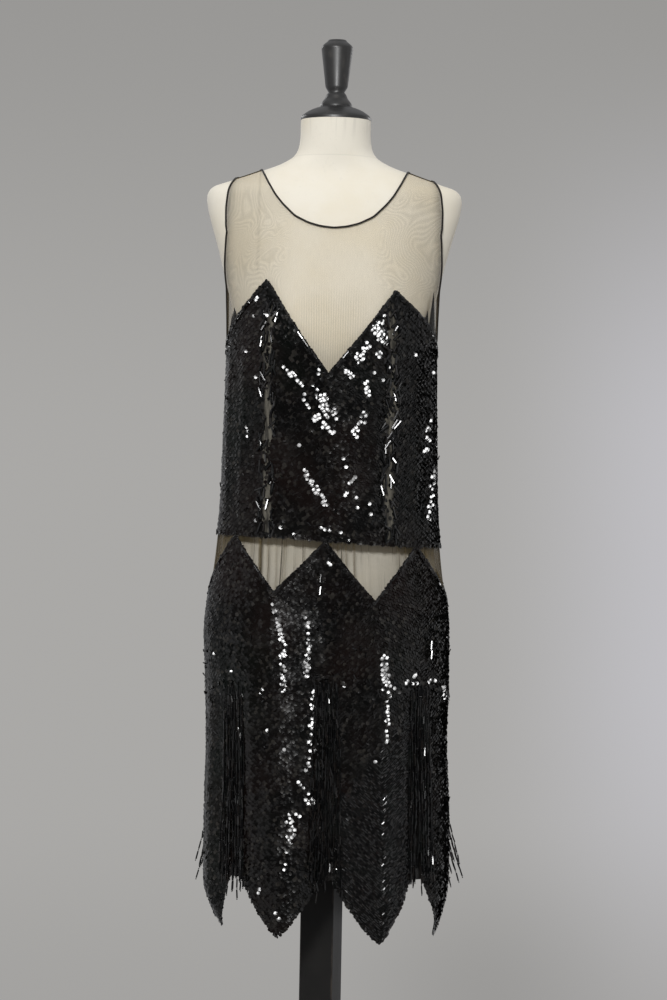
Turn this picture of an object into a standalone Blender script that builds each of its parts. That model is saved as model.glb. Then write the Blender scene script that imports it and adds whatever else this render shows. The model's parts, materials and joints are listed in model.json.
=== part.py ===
"""Sleeveless sequin dress with a dropped waist and a petal hem, on a limbless dress form.

Metres, +Z up. The front faces -Y and the form's own right-hand side is at -X.
The origin is on the floor, under the centre of the square base.
Angles around the figure are in degrees: 0 is the centre front, 90 is +X, 180 is the centre back.
"""

import math
from collections import namedtuple

import bmesh
import bpy
from mathutils import Matrix, Vector

MM = 0.001

# Driving sizes
NET_WALL = 1.0 * MM
SEQUIN_WALL = 1.5 * MM
SEAM_HALF_GAP = 0.3 * MM
NET_CLEAR = 2.1 * MM
UNDERLAP_GAP = 0.7 * MM
BINDING_RADIUS = 1.2 * MM
BINDING_LIFT = 1.1 * MM
BODICE_HEM_Z = 0.8725
BODICE_HEM_TILT = 0.0075
UNDERARM_Z = 1.165
FRONT_NECK_Z = 1.3295
BACK_NECK_Z = 1.345
FORM_TOP_Z = 1.4987
FORM_BOTTOM_Z = 0.680
POST_SIDE = 0.0515
POST_TURN = -16.0
BASE_SIDE = 0.340
BASE_THICK = 0.015

# Horizontal sections of the padded form: half width, depth to the front and to the back
FormSection = namedtuple("FormSection", "z half_width front back square")
FORM_SECTIONS = [
    FormSection(z=0.680, half_width=0.138, front=0.088, back=0.097, square=2.2),
    FormSection(z=0.688, half_width=0.150, front=0.096, back=0.105, square=2.2),
    FormSection(z=0.720, half_width=0.157, front=0.100, back=0.110, square=2.2),
    FormSection(z=0.760, half_width=0.162, front=0.103, back=0.113, square=2.2),
    FormSection(z=0.800, half_width=0.164, front=0.104, back=0.114, square=2.2),
    FormSection(z=0.862, half_width=0.158, front=0.100, back=0.107, square=2.2),
    FormSection(z=0.905, half_width=0.148, front=0.096, back=0.098, square=2.2),
    FormSection(z=0.950, half_width=0.132, front=0.091, back=0.086, square=2.2),
    FormSection(z=0.990, half_width=0.119, front=0.088, back=0.077, square=2.2),
    FormSection(z=1.025, half_width=0.113, front=0.087, back=0.073, square=2.2),
    FormSection(z=1.065, half_width=0.119, front=0.093, back=0.077, square=2.2),
    FormSection(z=1.110, half_width=0.130, front=0.108, back=0.085, square=2.2),
    FormSection(z=1.150, half_width=0.138, front=0.120, back=0.092, square=2.2),
    FormSection(z=1.180, half_width=0.143, front=0.122, back=0.095, square=2.2),
    FormSection(z=1.210, half_width=0.149, front=0.117, back=0.097, square=2.2),
    FormSection(z=1.260, half_width=0.162, front=0.105, back=0.098, square=2.2),
    FormSection(z=1.300, half_width=0.172, front=0.096, back=0.096, square=2.2),
    FormSection(z=1.335, half_width=0.182, front=0.086, back=0.092, square=2.2),
    FormSection(z=1.362, half_width=0.189, front=0.077, back=0.086, square=2.2),
    FormSection(z=1.384, half_width=0.1905, front=0.067, back=0.078, square=2.3),
    FormSection(z=1.396, half_width=0.182, front=0.060, back=0.071, square=2.3),
    FormSection(z=1.404, half_width=0.160, front=0.055, back=0.065, square=2.2),
    FormSection(z=1.412, half_width=0.135, front=0.051, back=0.060, square=2.2),
    FormSection(z=1.421, half_width=0.110, front=0.048, back=0.056, square=2.1),
    FormSection(z=1.431, half_width=0.083, front=0.047, back=0.054, square=2.1),
    FormSection(z=1.444, half_width=0.062, front=0.048, back=0.053, square=2.0),
    FormSection(z=1.462, half_width=0.054, front=0.050, back=0.0525, square=2.0),
    FormSection(z=FORM_TOP_Z, half_width=0.0525, front=0.0525, back=0.0525, square=2.0),
]
FORM_COLUMNS = 36

# Horizontal sections of the dress where it hangs free of the form, and how far each sways to +X
DressSection = namedtuple("DressSection", "z half_width front back square sway")
DRESS_SECTIONS = [
    DressSection(z=0.260, half_width=0.1745, front=0.127, back=0.129, square=2.15, sway=0.007),
    DressSection(z=0.360, half_width=0.1765, front=0.129, back=0.131, square=2.15, sway=0.006),
    DressSection(z=0.480, half_width=0.1755, front=0.129, back=0.131, square=2.15, sway=0.005),
    DressSection(z=0.570, half_width=0.1730, front=0.128, back=0.130, square=2.15, sway=0.003),
    DressSection(z=0.660, half_width=0.1775, front=0.128, back=0.130, square=2.15, sway=0.002),
    DressSection(z=0.720, half_width=0.1810, front=0.128, back=0.130, square=2.15, sway=0.000),
    DressSection(z=0.760, half_width=0.180, front=0.126, back=0.128, square=2.15, sway=0.000),
    DressSection(z=0.820, half_width=0.171, front=0.122, back=0.124, square=2.15, sway=0.000),
    DressSection(z=0.8655, half_width=0.166, front=0.121, back=0.119, square=2.15, sway=0.000),
    DressSection(z=0.930, half_width=0.161, front=0.122, back=0.112, square=2.15, sway=0.000),
    DressSection(z=1.005, half_width=0.159, front=0.124, back=0.107, square=2.15, sway=0.000),
    DressSection(z=1.080, half_width=0.157, front=0.127, back=0.103, square=2.15, sway=0.000),
    DressSection(z=1.140, half_width=0.156, front=0.128, back=0.101, square=2.15, sway=0.000),
    DressSection(z=1.170, half_width=0.156, front=0.1265, back=0.100, square=2.15, sway=0.000),
    DressSection(z=1.200, half_width=0.157, front=0.121, back=0.099, square=2.15, sway=0.000),
    DressSection(z=1.230, half_width=0.159, front=0.114, back=0.098, square=2.15, sway=0.000),
    DressSection(z=1.260, half_width=0.161, front=0.105, back=0.097, square=2.15, sway=0.000),
    DressSection(z=1.350, half_width=0.165, front=0.080, back=0.085, square=2.15, sway=0.000),
]

# Edges of the cloth, each a height against an angle or a place
EdgePoint = namedtuple("EdgePoint", "at z")
BODICE_TOP = [
    EdgePoint(at=-90.0, z=1.150),
    EdgePoint(at=-68.0, z=1.193),
    EdgePoint(at=-46.0, z=1.251),
    EdgePoint(at=-1.8, z=1.112),
    EdgePoint(at=43.5, z=1.238),
    EdgePoint(at=67.0, z=1.191),
    EdgePoint(at=90.0, z=1.150),
    EdgePoint(at=113.0, z=1.193),
    EdgePoint(at=137.0, z=1.245),
    EdgePoint(at=180.0, z=1.120),
    EdgePoint(at=223.0, z=1.245),
    EdgePoint(at=247.0, z=1.193),
    EdgePoint(at=270.0, z=1.150),
]
HIP_YOKE_TOP = [
    EdgePoint(at=-90.0, z=0.789),
    EdgePoint(at=-61.5, z=0.876),
    EdgePoint(at=-34.8, z=0.792),
    EdgePoint(at=-2.0, z=0.868),
    EdgePoint(at=31.0, z=0.780),
    EdgePoint(at=57.5, z=0.863),
    EdgePoint(at=88.0, z=0.778),
    EdgePoint(at=118.0, z=0.862),
    EdgePoint(at=149.0, z=0.782),
    EdgePoint(at=180.0, z=0.868),
    EdgePoint(at=211.0, z=0.788),
    EdgePoint(at=241.0, z=0.874),
    EdgePoint(at=270.0, z=0.789),
]
HIP_YOKE_BOTTOM = [
    EdgePoint(at=-88.0, z=0.638),
    EdgePoint(at=-58.0, z=0.666),
    EdgePoint(at=-32.6, z=0.639),
    EdgePoint(at=0.0, z=0.673),
    EdgePoint(at=32.6, z=0.638),
    EdgePoint(at=58.0, z=0.664),
    EdgePoint(at=88.0, z=0.638),
    EdgePoint(at=118.0, z=0.664),
    EdgePoint(at=149.0, z=0.638),
    EdgePoint(at=180.0, z=0.673),
    EdgePoint(at=211.0, z=0.639),
    EdgePoint(at=242.0, z=0.666),
    EdgePoint(at=272.0, z=0.638),
]

ArmholePoint = namedtuple("ArmholePoint", "z half_open")
ARMHOLE_SIDE = [
    ArmholePoint(z=UNDERARM_Z, half_open=0.000),
    ArmholePoint(z=1.176, half_open=0.009),
    ArmholePoint(z=1.200, half_open=0.016),
    ArmholePoint(z=1.230, half_open=0.022),
    ArmholePoint(z=1.260, half_open=0.031),
    ArmholePoint(z=1.300, half_open=0.045),
    ArmholePoint(z=1.350, half_open=0.054),
]
StrapPoint = namedtuple("StrapPoint", "z x")
STRAP_ARMHOLE = [
    StrapPoint(z=1.330, x=0.1585),
    StrapPoint(z=1.362, x=0.1590),
    StrapPoint(z=1.389, x=0.1560),
    StrapPoint(z=1.400, x=0.1510),
    StrapPoint(z=1.410, x=0.1450),
]
FRONT_NECKLINE = [
    StrapPoint(z=FRONT_NECK_Z, x=0.000),
    StrapPoint(z=1.3310, x=0.018),
    StrapPoint(z=1.3360, x=0.037),
    StrapPoint(z=1.3470, x=0.059),
    StrapPoint(z=1.3660, x=0.078),
    StrapPoint(z=1.3800, x=0.089),
    StrapPoint(z=1.3990, x=0.100),
    StrapPoint(z=1.4215, x=0.111),
]
BACK_NECKLINE = [
    StrapPoint(z=BACK_NECK_Z, x=0.000),
    StrapPoint(z=1.3465, x=0.020),
    StrapPoint(z=1.3510, x=0.041),
    StrapPoint(z=1.3600, x=0.061),
    StrapPoint(z=1.3760, x=0.080),
    StrapPoint(z=1.3880, x=0.091),
    StrapPoint(z=1.4030, x=0.102),
    StrapPoint(z=1.4215, x=0.111),
]
SHOULDER_Y = 0.004
STRAP_ROWS = 8

# Petals of the skirt and the fringed godets between them
Petal = namedtuple("Petal", "name start tip end tip_z tuck_in")
PETALS = [
    Petal(name="petal_front_left", start=0.0, tip=32.6, end=58.0, tip_z=0.284, tuck_in=0.002),
    Petal(name="petal_side_left", start=58.0, tip=86.0, end=118.0, tip_z=0.282, tuck_in=0.018),
    Petal(name="petal_back_left", start=118.0, tip=149.0, end=180.0, tip_z=0.286, tuck_in=0.002),
    Petal(name="petal_back_right", start=180.0, tip=211.0, end=242.0, tip_z=0.290, tuck_in=0.002),
    Petal(name="petal_side_right", start=242.0, tip=281.0, end=302.0, tip_z=0.294, tuck_in=0.024),
    Petal(name="petal_front_right", start=302.0, tip=331.5, end=360.0, tip_z=0.291, tuck_in=0.002),
]
Godet = namedtuple("Godet", "name angle flare")
GODETS = [
    Godet(name="centre_front", angle=0.0, flare=0.001),
    Godet(name="front_left", angle=58.0, flare=0.004),
    Godet(name="back_left", angle=118.0, flare=0.018),
    Godet(name="centre_back", angle=180.0, flare=0.001),
    Godet(name="back_right", angle=242.0, flare=0.018),
    Godet(name="front_right", angle=302.0, flare=0.004),
]
GODET_TOP_HALF = 4.0 * MM
GODET_HEM_HALF = 11.0 * MM
GODET_UNDERLAP = 5.0 * MM
GODET_TOP_Z = 0.660
GODET_HEM_Z = 0.372
TUCK_START = 15.0 * MM
PETAL_STEP = 6.2
PETAL_ROWS = 8
FLUTE_DEPTH = 0.006

# Long soft folds of the skirt, raised along a line that runs down the petals
Fold = namedtuple("Fold", "angle drift width height top_z")
FOLDS = [
    Fold(angle=-27.0, drift=3.0, width=7.0, height=0.0030, top_z=0.79),
    Fold(angle=-12.0, drift=-3.0, width=6.0, height=0.0035, top_z=0.76),
    Fold(angle=34.0, drift=2.0, width=8.0, height=0.0040, top_z=0.77),
    Fold(angle=16.0, drift=2.0, width=5.0, height=0.0020, top_z=0.70),
    Fold(angle=73.0, drift=2.0, width=7.0, height=0.0035, top_z=0.75),
    Fold(angle=100.0, drift=-2.0, width=7.0, height=0.0025, top_z=0.72),
    Fold(angle=138.0, drift=3.0, width=8.0, height=0.0035, top_z=0.77),
    Fold(angle=160.0, drift=-2.0, width=6.0, height=0.0030, top_z=0.74),
    Fold(angle=201.0, drift=3.0, width=6.0, height=0.0030, top_z=0.76),
    Fold(angle=225.0, drift=-2.0, width=8.0, height=0.0035, top_z=0.78),
    Fold(angle=262.0, drift=2.0, width=7.0, height=0.0025, top_z=0.73),
    Fold(angle=285.0, drift=-3.0, width=7.0, height=0.0050, top_z=0.70),
]

# Gathered net between the bodice and the hip yoke
COLUMN_STEP = 8.6
BODICE_ROWS = 6
HIP_YOKE_ROWS = 4
GATHERS_PER_PANEL = 34
GATHER_SAMPLES = 3
GATHER_DEPTH = 1.8 * MM

# Hanging fringe
STRANDS_PER_FRINGE = 15
STRAND_SIDES = 3
STRAND_RADIUS = 0.8 * MM
STRAND_PITCH = 2.4 * MM
STRAND_STEPS = 3
FRINGE_TAPE_HEIGHT = 5.0 * MM
FRINGE_TAPE_THICK = 1.5 * MM
FRINGE_DROP = 0.290

Paint = namedtuple("Paint", "red green blue roughness metallic")
PAINTS = {
    "sequins": Paint(0.012, 0.012, 0.013, 0.25, 0.0),
    "net": Paint(0.020, 0.020, 0.022, 0.80, 0.0),
    "binding": Paint(0.015, 0.012, 0.010, 0.60, 0.0),
    "beads": Paint(0.010, 0.010, 0.011, 0.15, 0.0),
    "canvas": Paint(0.800, 0.740, 0.620, 0.75, 0.0),
    "black_wood": Paint(0.018, 0.017, 0.016, 0.40, 0.0),
}


def table_value(rows, key, wanted, column):
    """One column of a table, smoothly between its rows (cubic, with the slopes of the neighbours)."""
    keys = [getattr(row, key) for row in rows]
    values = [getattr(row, column) for row in rows]
    if wanted <= keys[0]:
        return values[0]
    if wanted >= keys[-1]:
        return values[-1]
    i = max(n for n in range(len(keys) - 1) if keys[n] <= wanted)

    def slope(n):
        low, high = max(n - 1, 0), min(n + 1, len(keys) - 1)
        return (values[high] - values[low]) / (keys[high] - keys[low])

    span = keys[i + 1] - keys[i]
    t = (wanted - keys[i]) / span
    bend = (1 - t) * slope(i) * t - t * slope(i + 1) * (1 - t)
    straight = values[i] + (values[i + 1] - values[i]) * t * t * (3 - 2 * t)
    return straight + span * bend


def between(rows, key, wanted, column):
    """One column of a table, along straight lines between its rows."""
    previous = rows[0]
    for row in rows:
        low, high = getattr(previous, key), getattr(row, key)
        if wanted <= high:
            share = 0 if high == low else max(0.0, (wanted - low) / (high - low))
            return getattr(previous, column) + share * (getattr(row, column) - getattr(previous, column))
        previous = row
    return getattr(rows[-1], column)


def oval_radius(angle, half_width, front, back, square):
    """Distance from the axis to an oval whose front and back depths differ."""
    across = abs(math.sin(math.radians(angle)))
    along = math.cos(math.radians(angle))
    depth = front if along > 0 else back
    return ((across / half_width) ** square + (abs(along) / depth) ** square) ** (-1 / square)


def section_radius(rows, angle, z):
    sizes = [table_value(rows, "z", z, name) for name in ("half_width", "front", "back", "square")]
    return oval_radius(angle, *sizes)


def edge_height(edge, angle):
    """The height of a cut edge, whose table runs once round from its first angle."""
    first = edge[0].at
    return between(edge, "at", (angle - first) % 360 + first, "z")


def bodice_hem(angle):
    return BODICE_HEM_Z - BODICE_HEM_TILT * math.sin(math.radians(angle))


def flute(angle, z):
    """The petals swell between the godets, more towards the hem."""
    turn = angle % 360
    petal = next(p for p in PETALS if p.start <= turn <= p.end)
    share = (turn - petal.start) / (petal.end - petal.start)
    fade = min(1.0, max(0.0, (0.70 - z) / 0.30))
    return -FLUTE_DEPTH * math.cos(2 * math.pi * share) * fade


def fold_height(angle, z):
    raised = 0.0
    for fold in FOLDS:
        grow = min(1.0, max(0.0, (fold.top_z - z) / 0.12))
        middle = fold.angle + fold.drift * (fold.top_z - z) / 0.4
        away = (angle - middle + 180) % 360 - 180
        raised += fold.height * grow * math.exp(-((away / fold.width) ** 2))
    return raised


def form_radius(angle, z):
    """The padded form, whose rows run straight from one section to the next."""
    sizes = [between(FORM_SECTIONS, "z", z, name) for name in ("half_width", "front", "back", "square")]
    return oval_radius(angle, *sizes)


def dress_radius(angle, z):
    """The inner face of the dress: on the form where that is larger, and free of it elsewhere."""
    on_form = form_radius(angle, z) + NET_CLEAR
    free = section_radius(DRESS_SECTIONS, angle, z)
    return max(on_form, free) + fold_height(angle, z) + flute(angle, z)


def dress_point(angle, z, out=0.0):
    radius = dress_radius(angle, z) + out
    turn = math.radians(angle)
    sway = table_value(DRESS_SECTIONS, "z", z, "sway")
    return Vector((sway + radius * math.sin(turn), -radius * math.cos(turn), z))


def angle_for(width, angle, z):
    """The angle that a width along the cloth takes at this place."""
    return math.degrees(width / dress_radius(angle, z))


def steps(first, last, count):
    return [first + (last - first) * i / count for i in range(count + 1)]


def through(corners, longest):
    """Values through a list of corners, in equal steps between each two, none longer than the longest."""
    found = [corners[0]]
    for first, last in zip(corners, corners[1:]):
        found += steps(first, last, max(1, math.ceil((last - first) / longest - 0.01)))[1:]
    return found


def material(paint_name):
    if paint_name in bpy.data.materials:
        return bpy.data.materials[paint_name]
    paint = PAINTS[paint_name]
    made = bpy.data.materials.new(paint_name)
    made.use_nodes = True
    shader = made.node_tree.nodes["Principled BSDF"]
    shader.inputs["Base Color"].default_value = (paint.red, paint.green, paint.blue, 1)
    shader.inputs["Roughness"].default_value = paint.roughness
    shader.inputs["Metallic"].default_value = paint.metallic
    made.diffuse_color = (paint.red, paint.green, paint.blue, 1)
    return made


def add_object(name, mesh, paint_name, collection):
    made = bpy.data.objects.new(name, mesh)
    made.data.materials.append(material(paint_name))
    collection.objects.link(made)
    return made


def mesh_of(name, points, faces):
    mesh = bpy.data.meshes.new(name)
    mesh.from_pydata(points, [], faces)
    mesh.update()
    return mesh


def grid_faces(columns, rows, first=0):
    """Quads of a grid stored row by row, facing the side from which its columns run left to right."""
    wide = columns + 1
    corners = [first + j * wide + i for j in range(rows) for i in range(columns)]
    return [(a, a + 1, a + 1 + wide, a + wide) for a in corners]


def add_cloth(name, points, faces, wall, paint_name, collection):
    """A panel: an open surface on the inner face, thickened outwards."""
    cloth = add_object(name, mesh_of(name, points, faces), paint_name, collection)
    wall_modifier = cloth.modifiers.new("Wall", "SOLIDIFY")
    wall_modifier.thickness = wall
    wall_modifier.offset = 1.0
    wall_modifier.use_even_offset = True
    cloth.data.shade_smooth()
    return cloth


def band_panel(name, angles, low_edge, high_edge, rows, wall, paint_name, collection, out=None):
    """A panel between two edges, each a function of the angle. out moves it off the dress surface."""
    points = []
    for j in range(rows + 1):
        for angle in angles:
            low, high = low_edge(angle), high_edge(angle)
            z = low + (high - low) * j / rows
            points.append(dress_point(angle, z, out(angle, z) if out else 0.0))
    return add_cloth(name, points, grid_faces(len(angles) - 1, rows), wall, paint_name, collection)


# Dress form and stand


def build_form(collection):
    points = []
    turns = [360 * i / FORM_COLUMNS for i in range(FORM_COLUMNS)]
    for section in FORM_SECTIONS:
        for angle in turns:
            radius = oval_radius(angle, section.half_width, section.front, section.back, section.square)
            turn = math.radians(angle)
            points.append((radius * math.sin(turn), -radius * math.cos(turn), section.z))
    faces = []
    for j in range(len(FORM_SECTIONS) - 1):
        for i in range(FORM_COLUMNS):
            a, b = j * FORM_COLUMNS + i, j * FORM_COLUMNS + (i + 1) % FORM_COLUMNS
            faces.append((a, b, b + FORM_COLUMNS, a + FORM_COLUMNS))
    last = (len(FORM_SECTIONS) - 1) * FORM_COLUMNS
    faces.append(tuple(reversed(range(FORM_COLUMNS))))
    faces.append(tuple(range(last, last + FORM_COLUMNS)))
    form = add_object("dress_form", mesh_of("dress_form", points, faces), "canvas", collection)
    form.data.shade_smooth()
    return form


CapPoint = namedtuple("CapPoint", "radius z")
CAP_PROFILE = [
    CapPoint(radius=0.0000, z=1.6200),
    CapPoint(radius=0.0130, z=1.6200),
    CapPoint(radius=0.0150, z=1.6170),
    CapPoint(radius=0.0220, z=1.6110),
    CapPoint(radius=0.0238, z=1.6070),
    CapPoint(radius=0.0165, z=1.5490),
    CapPoint(radius=0.0135, z=1.5440),
    CapPoint(radius=0.0125, z=1.5405),
    CapPoint(radius=0.0150, z=1.5370),
    CapPoint(radius=0.0168, z=1.5320),
    CapPoint(radius=0.0205, z=1.5275),
    CapPoint(radius=0.0236, z=1.5220),
    CapPoint(radius=0.0250, z=1.5190),
    CapPoint(radius=0.0360, z=1.5150),
    CapPoint(radius=0.0460, z=1.5095),
    CapPoint(radius=0.0520, z=1.5040),
    CapPoint(radius=0.0528, z=1.5015),
    CapPoint(radius=0.0520, z=1.4990),
    CapPoint(radius=0.0000, z=1.4990),
]
CAP_STEPS = 24


def build_neck_cap(collection):
    """The turned cap that closes the neck: a flange and a tapered grip, as one turning."""
    points = [(p.radius, 0.0, p.z) for p in CAP_PROFILE]
    mesh = bpy.data.meshes.new("neck_cap")
    mesh.from_pydata(points, [(i, i + 1) for i in range(len(points) - 1)], [])
    cap = add_object("neck_cap", mesh, "black_wood", collection)
    turning = cap.modifiers.new("Turning", "SCREW")
    turning.axis = "Z"
    turning.steps = CAP_STEPS
    turning.render_steps = CAP_STEPS
    turning.use_merge_vertices = True
    turning.merge_threshold = 0.00001
    turning.use_smooth_shade = True
    return cap


def add_block(name, size, centre, turn, bevel, collection):
    """A rectangular block of the stand, with eased edges."""
    mesh = bpy.data.meshes.new(name)
    shape = bmesh.new()
    bmesh.ops.create_cube(shape, size=1.0)
    bmesh.ops.scale(shape, vec=size, verts=shape.verts)
    shape.to_mesh(mesh)
    shape.free()
    block = add_object(name, mesh, "black_wood", collection)
    block.matrix_world = Matrix.Translation(centre) @ Matrix.Rotation(math.radians(turn), 4, "Z")
    eased = block.modifiers.new("Eased edges", "BEVEL")
    eased.width = bevel
    eased.segments = 2
    return block


def build_stand(collection):
    base_size = (BASE_SIDE, BASE_SIDE, BASE_THICK)
    add_block("stand_base", base_size, (0, 0, BASE_THICK / 2), POST_TURN, 0.003, collection)
    low, high = BASE_THICK + SEAM_HALF_GAP, FORM_BOTTOM_Z - SEAM_HALF_GAP
    post_size = (POST_SIDE, POST_SIDE, high - low)
    add_block("stand_post", post_size, (0, 0, (low + high) / 2), POST_TURN, 0.002, collection)


# Net yoke with its straps


def armhole_angle(z):
    """How far round from the centre the yoke reaches at this height: to the side seam or the armhole."""
    if z <= UNDERARM_Z:
        return 90.0
    half_open = between(ARMHOLE_SIDE, "z", z, "half_open")
    low, high = 45.0, 90.0
    for _ in range(30):
        middle = (low + high) / 2
        opening = dress_radius(middle, z) * math.cos(math.radians(middle))
        low, high = (middle, high) if opening > half_open else (low, middle)
    return low


def on_form(x, y, z):
    """Below 0 inside the padded form and its clearance, above 0 outside."""
    half_width, front, back, square = (
        between(FORM_SECTIONS, "z", z, name) for name in ("half_width", "front", "back", "square")
    )
    depth = (front if y < 0 else back) + NET_CLEAR
    return (abs(x) / (half_width + NET_CLEAR)) ** square + (abs(y) / depth) ** square - 1


def strap_point(x, lift, neck_z, facing):
    """A point over the shoulder, where a line that rises by an angle from inside the form leaves it."""
    rise, reach = math.sin(math.radians(lift)), facing * math.cos(math.radians(lift))
    low, high = 0.0, 0.14
    for _ in range(30):
        middle = (low + high) / 2
        inside = on_form(x, SHOULDER_Y + reach * middle, neck_z + rise * middle) < 0
        low, high = (middle, high) if inside else (low, middle)
    return Vector((x, SHOULDER_Y + reach * low, neck_z + rise * low))


def strap_edge(table, lift, neck_z, facing):
    """The x where a strap row meets an edge that is given by height."""
    x = table[len(table) // 2].x
    for _ in range(12):
        x = 0.5 * x + 0.5 * between(table, "z", strap_point(x, lift, neck_z, facing).z, "x")
    return x


YOKE_STEP = 8.8
YOKE_ROWS = 7


def yoke_columns(middle):
    """Angles of the yoke's columns along its lower edge, and which column is the centre one."""
    angles = panel_angles(middle, [BODICE_TOP], YOKE_STEP)
    return angles, min(range(len(angles)), key=lambda i: abs(angles[i] - middle))


def yoke_rows(middle, neck_z, neckline):
    """Level rows from the lower edge to the neckline, then rows over each shoulder, as columns of points.

    A strap row holds the right and the left strap's points apart, each from its armhole to the neck."""
    facing = -1 if middle == 0 else 1
    angles, centre = yoke_columns(middle)
    shares = [
        (angle - angles[centre]) / abs((angles[0] if i < centre else angles[-1]) - angles[centre])
        for i, angle in enumerate(angles)
    ]
    level = []
    for j in range(YOKE_ROWS + 1):
        row = []
        for angle, share in zip(angles, shares):
            low = edge_height(BODICE_TOP, angle) + SEAM_HALF_GAP
            z = low + (neck_z - low) * j / YOKE_ROWS
            limit = armhole_angle(z) - angle_for(SEAM_HALF_GAP, 90, z)
            narrowed = 1.0 if abs(share) == 1 else (j / YOKE_ROWS) ** 0.6
            row.append(dress_point(angle + (middle + share * limit - angle) * narrowed, z))
        level.append(row)
    straps = []
    for k in range(1, STRAP_ROWS + 1):
        lift = (90.0 - 0.45) * (k / STRAP_ROWS) ** 1.3
        inner = strap_edge(neckline, lift, neck_z, facing)
        outer = strap_edge(STRAP_ARMHOLE, lift, neck_z, facing)
        halves = []
        for side, end in ((-1, 0), (1, -1)):
            end_x = level[-1][end].x
            half = []
            for i in half_columns(centre, side, len(angles)):
                x = inner + (outer - inner) * abs(level[-1][i].x / end_x)
                half.append(mirrored(strap_point(x, lift, neck_z, facing), math.copysign(1, end_x)))
            halves.append(half)
        straps.append(halves)
    return level, straps, centre


def half_columns(centre, side, count):
    """Column numbers of one half, in the order of the panel's columns, with the centre one in both."""
    return range(centre + 1) if side < 0 else range(centre, count)


def mirrored(point, hand):
    return Vector((hand * point.x, point.y, point.z))


def build_yoke(name, middle, neck_z, neckline, collection):
    """Front or back yoke in net. Both straps share the centre column up to the neckline."""
    level, straps, centre = yoke_rows(middle, neck_z, neckline)
    count = len(level[0])
    points = [point for row in level for point in row]
    faces = grid_faces(count - 1, YOKE_ROWS)
    for number, side in enumerate((-1, 1)):
        columns = list(half_columns(centre, side, count))
        below = [YOKE_ROWS * count + i for i in columns]
        for halves in straps:
            above = list(range(len(points), len(points) + len(columns)))
            points += halves[number]
            faces += list(zip(below, below[1:], above[1:], above))
            below = above
    add_cloth(name, points, faces, NET_WALL, "net", collection)
    return level, straps, centre


# Bindings


def edge_route(pairs):
    """The centre line of a binding off an edge, from pairs of an edge point and its inner neighbour."""
    route = []
    for j, (edge, inner) in enumerate(pairs):
        along = (pairs[min(j + 1, len(pairs) - 1)][0] - pairs[max(j - 1, 0)][0]).normalized()
        across = edge - inner
        across = (across - along * across.dot(along)).normalized()
        outward = across.cross(along)
        if outward.dot(edge - Vector((0, SHOULDER_Y, min(edge.z, FRONT_NECK_Z)))) < 0:
            outward = -outward
        route.append(edge + across * (BINDING_RADIUS + 2 * SEAM_HALF_GAP) + outward * BINDING_LIFT)
    return route


def add_binding(name, route, collection):
    curve = bpy.data.curves.new(name, "CURVE")
    curve.dimensions = "3D"
    curve.bevel_depth = BINDING_RADIUS
    curve.bevel_resolution = 1
    spline = curve.splines.new("POLY")
    spline.points.add(len(route) - 1)
    for point, place in zip(spline.points, route):
        point.co = (*place, 1)
    spline.use_cyclic_u = True
    binding = bpy.data.objects.new(name, curve)
    curve.materials.append(material("binding"))
    collection.objects.link(binding)


def armhole_pairs(rows, end):
    """Edge points of a yoke's armhole with their neighbours, from the underarm to the shoulder."""
    level, straps, _ = rows
    inner = 1 if end == 0 else -2
    half = 0 if end == 0 else 1
    pairs = [(row[end], row[inner]) for row in level if row[end].z > UNDERARM_Z + 0.004]
    return pairs + [(halves[half][end], halves[half][inner]) for halves in straps]


def neck_pairs(rows, half):
    """Edge points of one half of a neckline, from the centre to the shoulder."""
    _, straps, _ = rows
    edge, inner = (-1, -2) if half == 0 else (0, 1)
    return [(halves[half][edge], halves[half][inner]) for halves in straps]


def over_shoulder(front, back):
    """One route from a front edge over the shoulder seam and down the back edge."""
    return front[:-1] + [(front[-1] + back[-1]) / 2] + back[-2::-1]


def build_bindings(front_rows, back_rows, collection):
    """In the front rows +X is the last column, and in the back rows it is the first."""
    for hand, side_name, front_end, back_end in ((1, "left", -1, 0), (-1, "right", 0, -1)):
        front = edge_route(armhole_pairs(front_rows, front_end))
        back = edge_route(armhole_pairs(back_rows, back_end))
        under = dress_point(90 * hand, UNDERARM_Z + BINDING_RADIUS + SEAM_HALF_GAP, NET_WALL / 2)
        add_binding("armhole_binding_" + side_name, [under] + over_shoulder(front, back), collection)
    drop = Vector((0, 0, BINDING_RADIUS + SEAM_HALF_GAP))
    middles = []
    for level, _, centre in (front_rows, back_rows):
        middles.append(level[-1][centre] + drop)
    left = over_shoulder(edge_route(neck_pairs(front_rows, 1)), edge_route(neck_pairs(back_rows, 0)))
    right = over_shoulder(edge_route(neck_pairs(front_rows, 0)), edge_route(neck_pairs(back_rows, 1)))
    add_binding("neck_binding", [middles[0]] + left + [middles[1]] + right[::-1], collection)


# Bodice, gathered insert and hip yoke


def seam_angle(z, middle_angle, hand):
    return middle_angle + hand * (90 - angle_for(SEAM_HALF_GAP, 90, z))


def panel_angles(middle, edges, longest):
    """Angles from one side seam to the other, through every corner of the panel's edges."""
    reach = 90 - angle_for(SEAM_HALF_GAP, 90, 0.9)
    first, last = middle - reach, middle + reach
    corners = {point.at + turn for edge in edges for point in edge for turn in (-360, 0)}
    kept = sorted(corner for corner in corners if first + 1 < corner < last - 1)
    return through([first] + kept + [last], longest)


def build_bodice(collection):
    for name, middle in (("bodice_front", 0), ("bodice_back", 180)):
        band_panel(
            name,
            panel_angles(middle, [BODICE_TOP], COLUMN_STEP),
            lambda angle: bodice_hem(angle) + SEAM_HALF_GAP,
            lambda angle: edge_height(BODICE_TOP, angle) - SEAM_HALF_GAP,
            BODICE_ROWS,
            SEQUIN_WALL,
            "sequins",
            collection,
        )


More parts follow.
